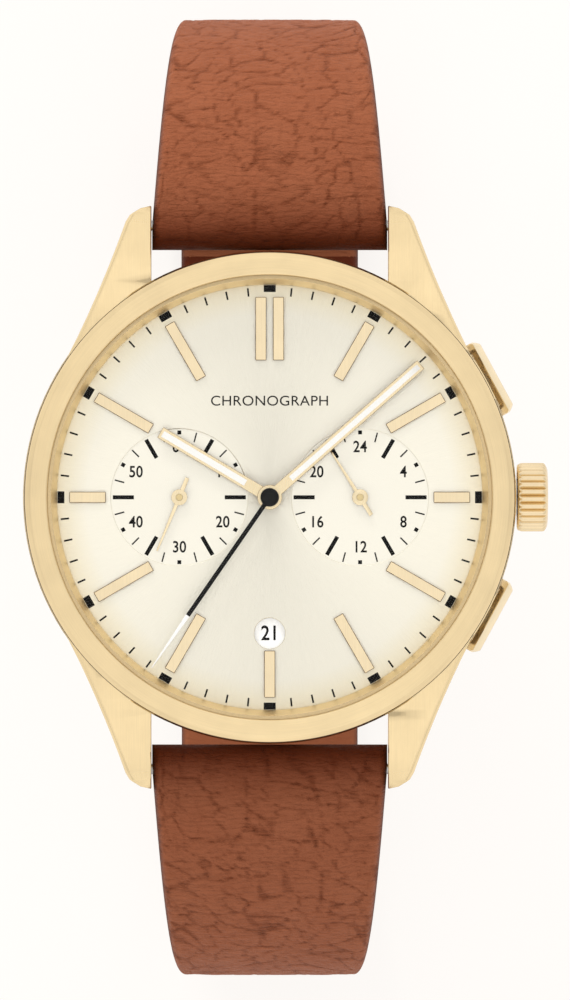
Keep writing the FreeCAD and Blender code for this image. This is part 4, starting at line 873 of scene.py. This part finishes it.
def leatherRun(name, outer, inner, left, right, seed, cfg, pad=1.0, sign=1):
    # The padded section carried along the run: crowned above, flat below, with rounded edges.
    middle, half = (outer + inner) / 2, (outer - inner) / 2
    s = np.concatenate([[0], np.cumsum(np.linalg.norm(np.diff(outer, axis=0), axis=1))])
    across = np.sin(np.linspace(-np.pi / 2, np.pi / 2, cfg["topColumns"]))
    under = np.sin(np.linspace(np.pi / 2, -np.pi / 2, cfg["underColumns"]))[1:-1]
    c = np.concatenate([across, under])[None, :]
    top = np.concatenate([np.ones(len(across)), np.zeros(len(under))])[None, :]
    centre, halfWidth = ((left + right) / 2)[:, None], ((right - left) / 2)[:, None]
    x = centre + halfWidth * c
    inset = halfWidth * (1 - np.abs(c))
    edgeFall = np.sqrt(np.clip(1 - np.clip(1 - inset / cfg["edgeRound"], 0, 1) ** 2, 0, 1))
    thick = np.linalg.norm(half, axis=1)[:, None]
    rise = np.clip((inset - cfg["crease"]) / 1.6, 0, 1)
    rise = rise * rise * (3 - 2 * rise)
    swell = np.clip((cfg["swellEnd"] - s) / 14.0, 0.12, 1)[:, None] * pad
    padding = 1 - (1 - cfg["shoulder"]) * (1 - rise) * swell
    groove = 0.05 * swell * np.exp(-((inset - cfg["crease"]) / 0.22) ** 2)
    relief = pebbles(x, s[:, None] + 0 * x, seed)
    fade = np.clip(thick / 0.8, 0, 1)
    sunk = (groove + cfg["relief"] * (1 - relief) * edgeFall) * fade
    upper = edgeFall * padding - sunk / np.maximum(thick, 0.05)
    level = np.where(top > 0.5, upper, -edgeFall * 0.97)
    y = middle[:, :1] + half[:, :1] * level
    z = middle[:, 1:] + half[:, 1:] * level
    points = np.stack([x + 0 * y, sign * y, z], -1)
    rows, columns = points.shape[:2]
    edge = np.clip(1 - inset / 0.34, 0, 1) * np.ones_like(y)
    uv = np.stack([x / 10, (s[:, None] + 0 * x) / 10], -1)
    faces = gridFaces(rows, columns, False, True)
    # Painted shade by the lugs: strongest on the first millimetre of the roll, fading over the next few
    # millimetres away from the case.
    paintedRollShade = 0.9 * np.exp(-(np.maximum(s[:, None] - 1.0, 0) / cfg["paintedRollShade"]) ** 2)
    values = {"pebble": np.where(top > 0.5, relief, 0.75), "edge": edge,
              "lining": (1 - top) * np.ones_like(y), "paintedRollShade": paintedRollShade * np.ones_like(y)}
    return meshPiece(name, points, faces, [leather], 60, uv=uv, values=values)


def strapWidths(s, cfg):
    # Half the width: full at the lugs, easing to the narrow width, constant after that.
    t = np.clip((s - cfg["taperStart"]) / cfg["taperLength"], 0, 1)
    return cfg["half"] + (cfg["narrow"] - cfg["half"]) * t


def loopRuns(cfg, floor, corner, thick, end):
    # The strap's side outline from the lug roll, over the top curve, down and round to its end.
    barY, barZ = cfg["bar"]
    outR = cfg["reach"] - barY
    inR = outR - cfg["side"]
    top, low = barZ + cfg["roll"], barZ - cfg["roll"]
    corners = (cfg["reach"] - corner, floor + corner)
    runs = [
        (arc((barY, barZ), cfg["roll"], 180, 90, 0.1), arc((barY, barZ), cfg["roll"], 180, 270, 0.1)),
        (arc((barY, top - outR), outR, 90, 0, 0.1), arc((barY, low - inR), inR, 90, 0, 0.1)),
        (np.array([(cfg["reach"], top - outR), (cfg["reach"], corners[1])]),
         np.array([(barY + inR, low - inR), (cfg["reach"] - thick, corners[1])])),
        (arc(corners, corner, 0, -90, 0.1), arc(corners, corner - thick, 0, -90, 0.1))]
    runs.append((np.array([(corners[0], floor), (end, floor)]),
                 np.array([(corners[0], floor + thick), (end, floor + thick)])))
    return runs


def roundedEnd(outer, inner, length):
    # Closes the end of a run: both faces curve to the middle over a short length.
    middle, half = (outer[-1] + inner[-1]) / 2, (outer[-1] - inner[-1]) / 2
    way = outer[-1] - outer[-2]
    way = way / np.linalg.norm(way)
    t = np.linspace(0, np.pi / 2, 9)[1:, None]
    return (np.vstack([outer, middle + way * length * np.sin(t) + half * np.cos(t)]),
            np.vstack([inner, middle + way * length * np.sin(t) - half * np.cos(t)]))


longLow, longHigh = boxMm("strap_long")
shortLow, shortHigh = boxMm("strap_short")
longTip = longHigh[1]
keeperLow, keeperHigh = boxMm("fixed_keeper")
keeperBelow = 3.5
shortFloor = keeperLow[2] + keeperBelow


longSettings = {"corner": 20.0, "thick": 2.2, "endGap": 0.7, "endRound": 0.65, "tipLength": 8.0, "holes": 5,
                "holeRadius": 0.9, "firstHole": 6.0, "holePitch": 6.0, "holeBelow": 2, "holeAbove": 4}


def makeLongStrap(cfg, own):
    # The half with the holes: its width falls to nothing round the tip.
    runs = loopRuns(cfg, longLow[2], own["corner"], own["thick"], own["endGap"] - longTip)
    outer, inner = roundedEnd(*paired(runs, cfg["step"]), own["endRound"])
    s = np.concatenate([[0], np.cumsum(np.linalg.norm(np.diff(outer, axis=0), axis=1))])
    half = strapWidths(s, cfg)
    nose = np.clip((s[-1] - s) / own["tipLength"], 0, 1)
    rounding = np.sqrt(np.clip(1 - (1 - nose) ** 2.1, 0.012, 1))
    half = half * np.where(outer[:, 1] < longLow[2] + 3, rounding, 1)
    piece = leatherRun("strap_long_leather", outer, inner, -half, half, 11, cfg, sign=-1)
    low, high = longLow[2] - own["holeBelow"], longLow[2] + own["holeAbove"]
    pin = [(0, low), (own["holeRadius"], low), (own["holeRadius"], high), (0, high)]
    holes = [lathe("hole_cutter", pin, [leather], 32, closed=False,
                   centre=(0, longTip - own["firstHole"] - own["holePitch"] * number))
             for number in range(own["holes"])]
    cutter = joinPieces(holes, "hole_cutters")
    modifier = piece.modifiers.new("holes", "BOOLEAN")
    modifier.object = cutter
    modifier.solver = "EXACT"
    applyModifiers(piece)
    bpy.data.objects.remove(cutter)
    return stand(piece, "strap_long")


def applyModifiers(piece):
    # Turns a piece's modifiers into plain mesh.
    made = bpy.data.meshes.new_from_object(piece.evaluated_get(bpy.context.evaluated_depsgraph_get()))
    piece.modifiers.clear()
    piece.data = made


shortSettings = {"corner": 16.0, "thick": 2.6, "slot": 1.5, "bar": 18.8, "roll": 1.72, "slotReach": 2.05,
                 "endRound": 0.3, "overlap": 0.9, "neck": 1.6, "flare": 0.1}


def makeShortStrap(cfg, own):
    # The half with the buckle: two fingers beside a slot wrap round the buckle's bar.
    thick, slot, barY, roll = own["thick"], own["slot"], own["bar"], own["roll"]
    barZ, slotEnd = shortFloor + thick / 2, barY + own["slotReach"]
    runs = loopRuns(cfg, shortFloor, own["corner"], thick, slotEnd)
    outer, inner = roundedEnd(*paired(runs, cfg["step"]), own["endRound"])
    s = np.concatenate([[0], np.cumsum(np.linalg.norm(np.diff(outer, axis=0), axis=1))])
    half = strapWidths(s, cfg)
    parts = [leatherRun("strap_short_main", outer, inner, -half, half, 23, cfg)]
    root, neck, top = slotEnd + own["overlap"], barY + own["neck"], shortFloor + thick
    below = np.array([(root, shortFloor), (neck, shortFloor - own["flare"]), (barY, barZ - roll)])
    above = np.array([(root, top), (neck, top + own["flare"]), (barY, barZ + roll)])
    fingers = [(below, above),
               (arc((barY, barZ), roll, 270, 180, 0.1), arc((barY, barZ), roll, 90, 180, 0.1))]
    outer, inner = paired(fingers, cfg["step"])
    # The fingers by the buckle get almost none of the painted shade.
    plain = dict(cfg, paintedRollShade=0.001)
    for side in (-1, 1):
        near, far = side * slot, side * cfg["narrow"]
        left, right = np.full(len(outer), min(near, far)), np.full(len(outer), max(near, far))
        parts.append(leatherRun("strap_short_finger", outer, inner, left, right, 31 + side, plain, pad=0.0))
    return stand(joinPieces(parts, "strap_short_leather"), "strap_short")


longStrap = makeLongStrap(strapSettings, longSettings)
shortStrap = makeShortStrap(strapSettings, shortSettings)

keeperSettings = {"half": 8.75, "thick": 0.96, "width": 3.96, "corner": 1.1, "rows": 220, "columns": 44,
                  "edgeRound": 0.28, "relief": 0.05}


def makeKeeper(name, node, low, high, cfg, bend=None):
    # A flat leather band carried round a rounded oblong, whose middle line runs from low to high.
    # bend curves it along the strap: the curve's middle y and z, the angle it starts at, its radius.
    half, corner = cfg["half"], cfg["corner"]
    turns = []
    for centre, first in (((half - corner, high - corner), 0), ((-half + corner, high - corner), 90),
                          ((-half + corner, low + corner), 180), ((half - corner, low + corner), 270)):
        turns.append(arc(centre, corner, first, first + 90, 0.1))
    loop = np.vstack(turns)
    loop = np.vstack([loop, loop[:1]])
    reach = np.concatenate([[0], np.cumsum(np.linalg.norm(np.diff(loop, axis=0), axis=1))])
    even = np.linspace(0, reach[-1], cfg["rows"], endpoint=False)
    path = np.column_stack([np.interp(even, reach, loop[:, k]) for k in range(2)])
    way = np.roll(path, -1, 0) - np.roll(path, 1, 0)
    way /= np.linalg.norm(way, axis=1, keepdims=True)
    out = np.column_stack([way[:, 1], -way[:, 0]])
    halfWidth, halfThick = cfg["width"] / 2, cfg["thick"] / 2
    corners = [(-halfWidth, -halfThick), (halfWidth, -halfThick), (halfWidth, halfThick),
               (-halfWidth, halfThick)]
    section = eased(corners, cfg["edgeRound"], 6)
    run = np.concatenate([[0], np.cumsum(np.linalg.norm(np.diff(section, axis=0), axis=1))])
    steps = np.linspace(0, run[-1], cfg["columns"], endpoint=False)
    section = np.column_stack([np.interp(steps, run, section[:, k]) for k in range(2)])
    t, n = section[:, 0][None, :], section[:, 1][None, :]
    grain = pebbles(t + 0 * even[:, None], even[:, None] + 0 * t, 47)
    n = n - cfg["relief"] * (1 - grain) * (n > halfThick * 0.6)
    x = path[:, :1] + out[:, :1] * n
    depth = path[:, 1:] + out[:, 1:] * n
    if bend is None:
        lowBox, highBox = boxMm(node)
        points = np.stack([x, t + (lowBox[1] + highBox[1]) / 2 + 0 * x, depth], -1)
    else:
        angle = bend[2] + (t + halfWidth) / bend[3] + 0 * x
        points = np.stack([x, bend[0] - depth * np.sin(angle), bend[1] + depth * np.cos(angle)], -1)
    uv = np.stack([(t + 0 * x) / 10, (even[:, None] + 0 * x) / 10], -1)
    edge = np.clip((np.abs(t) - halfWidth + 0.12) / 0.1, 0, 1) + 0 * x
    values = {"pebble": grain, "edge": edge, "lining": (n < 0) + 0 * x}
    faces = gridFaces(len(path), len(section), True, True)
    piece = meshPiece(name, points, faces, [leather], 60, uv=uv, values=values)
    return stand(piece, node)


wallMiddle = 0.5
makeKeeper("keeper_fixed_leather", "fixed_keeper", keeperLow[2] + wallMiddle, keeperHigh[2] - wallMiddle,
           keeperSettings)
curveRadius, curveMiddle, keeperStart = shortSettings["corner"], 25.7, math.radians(12.0)
freeOuter, freeInner = -19.0, -12.65
makeKeeper("keeper_free_leather", "free_keeper", freeOuter, freeInner, keeperSettings,
           bend=(curveMiddle, shortFloor + curveRadius, keeperStart, curveRadius))
copied("buckle_frame", "buckle_frame_rounded", [brightGold], [(0.42, 4, None)], sharp=30, smoothAngle=50)
copied("buckle_tongue", "buckle_tongue_rounded", [brightGold], [(0.22, 3, None)], sharp=30, smoothAngle=50)

print("stage: remaining pieces")
slotOf = {entry["node"]: entry["material_slot"] for entry in frame["record"]["subparts"]}
for name, node in cadNodes.items():
    material = slotMaterials.get(slotOf[name])
    if material is not None:
        node.data.materials.clear()
        node.data.materials.append(material)

print("stage: floor, light and camera")
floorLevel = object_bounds()[0][2]
floorMaterial, start, shader = newMaterial("pale studio floor", {
    "Base Color": (0.14, 0.137, 0.133), "Roughness": 0.9, "Specular IOR Level": 0.1,
    "Emission Color": (1.0, 0.974, 0.947), "Emission Strength": 0.86})
x, y, z = places(start)
floorGrain = noise(start, x * 0.02, y * 0.02, 0.0)
feed(start, shader, {"Roughness": floorGrain * 0.05 + 0.85})
floorMesh = bpy.data.meshes.new("studio_floor")
reach = 4.0
floorMesh.from_pydata([(-reach, -reach, floorLevel), (reach, -reach, floorLevel), (reach, reach, floorLevel),
                       (-reach, reach, floorLevel)], [], [(0, 1, 2, 3)])
floorMesh.materials.append(floorMaterial)
floor = bpy.data.objects.new("studio_floor", floorMesh)
scene.collection.objects.link(floor)

world = bpy.data.worlds.new("studio")
scene.world = world
world.use_nodes = True
sky = Wire(world.node_tree)
direction = sky.node("ShaderNodeSeparateXYZ", {0: sky.node("ShaderNodeTexCoord", out="Generated")})
sides = direction.socket.node.outputs
alongX, alongY, alongZ = [Wire(world.node_tree, sides[axis]) for axis in range(3)]
towardY, towardX = alongY.calc("ABSOLUTE"), alongX.calc("ABSOLUTE")
bright = (towardY.between(0.03, 0.38) * 0.26 - towardY.between(0.42, 0.95) * 0.16
          - towardX.between(0.03, 0.40) * 0.30 + 1.02)
lit = sky.node("ShaderNodeBackground", {"Color": (1.0, 0.985, 0.965), "Strength": bright})
world.node_tree.links.new(lit.socket, world.node_tree.nodes["World Output"].inputs["Surface"])


def areaLight(name, place, size, power):
    # A soft box aimed at the watch, left out of its reflections.
    data = bpy.data.lights.new(name, "AREA")
    data.shape, data.size, data.size_y = "RECTANGLE", size[0], size[1]
    data.energy, data.color = power, (1, 0.98, 0.95)
    light = bpy.data.objects.new(name, data)
    scene.collection.objects.link(light)
    way = -Vector(place)
    light.location = place
    light.visible_glossy = False
    light.rotation_euler = way.to_track_quat("-Z", "Y").to_euler()


areaLight("key_softbox", (-0.18, 0.85, 0.42), (0.35, 0.2), 5.0)
areaLight("fill_softbox", (0.2, -0.6, 0.7), (0.6, 0.35), 0.6)

cameraSettings = {"distance": 0.9, "dialHeight": 0.0065, "seen": 0.0854, "sensor": 36.0,
                  "shift": (0.0153, -0.0027)}
cameraData = bpy.data.cameras.new("front_camera")
cameraData.sensor_width = cameraSettings["sensor"]
cameraData.lens = cameraSettings["sensor"] * cameraSettings["distance"] / cameraSettings["seen"]
cameraData.shift_x, cameraData.shift_y = cameraSettings["shift"]
cameraData.clip_start, cameraData.clip_end = 0.05, 20.0
camera = bpy.data.objects.new("front_camera", cameraData)
camera.location = (0, 0, cameraSettings["dialHeight"] + cameraSettings["distance"])
scene.collection.objects.link(camera)
scene.camera = camera
scene.view_settings.view_transform = "Standard"
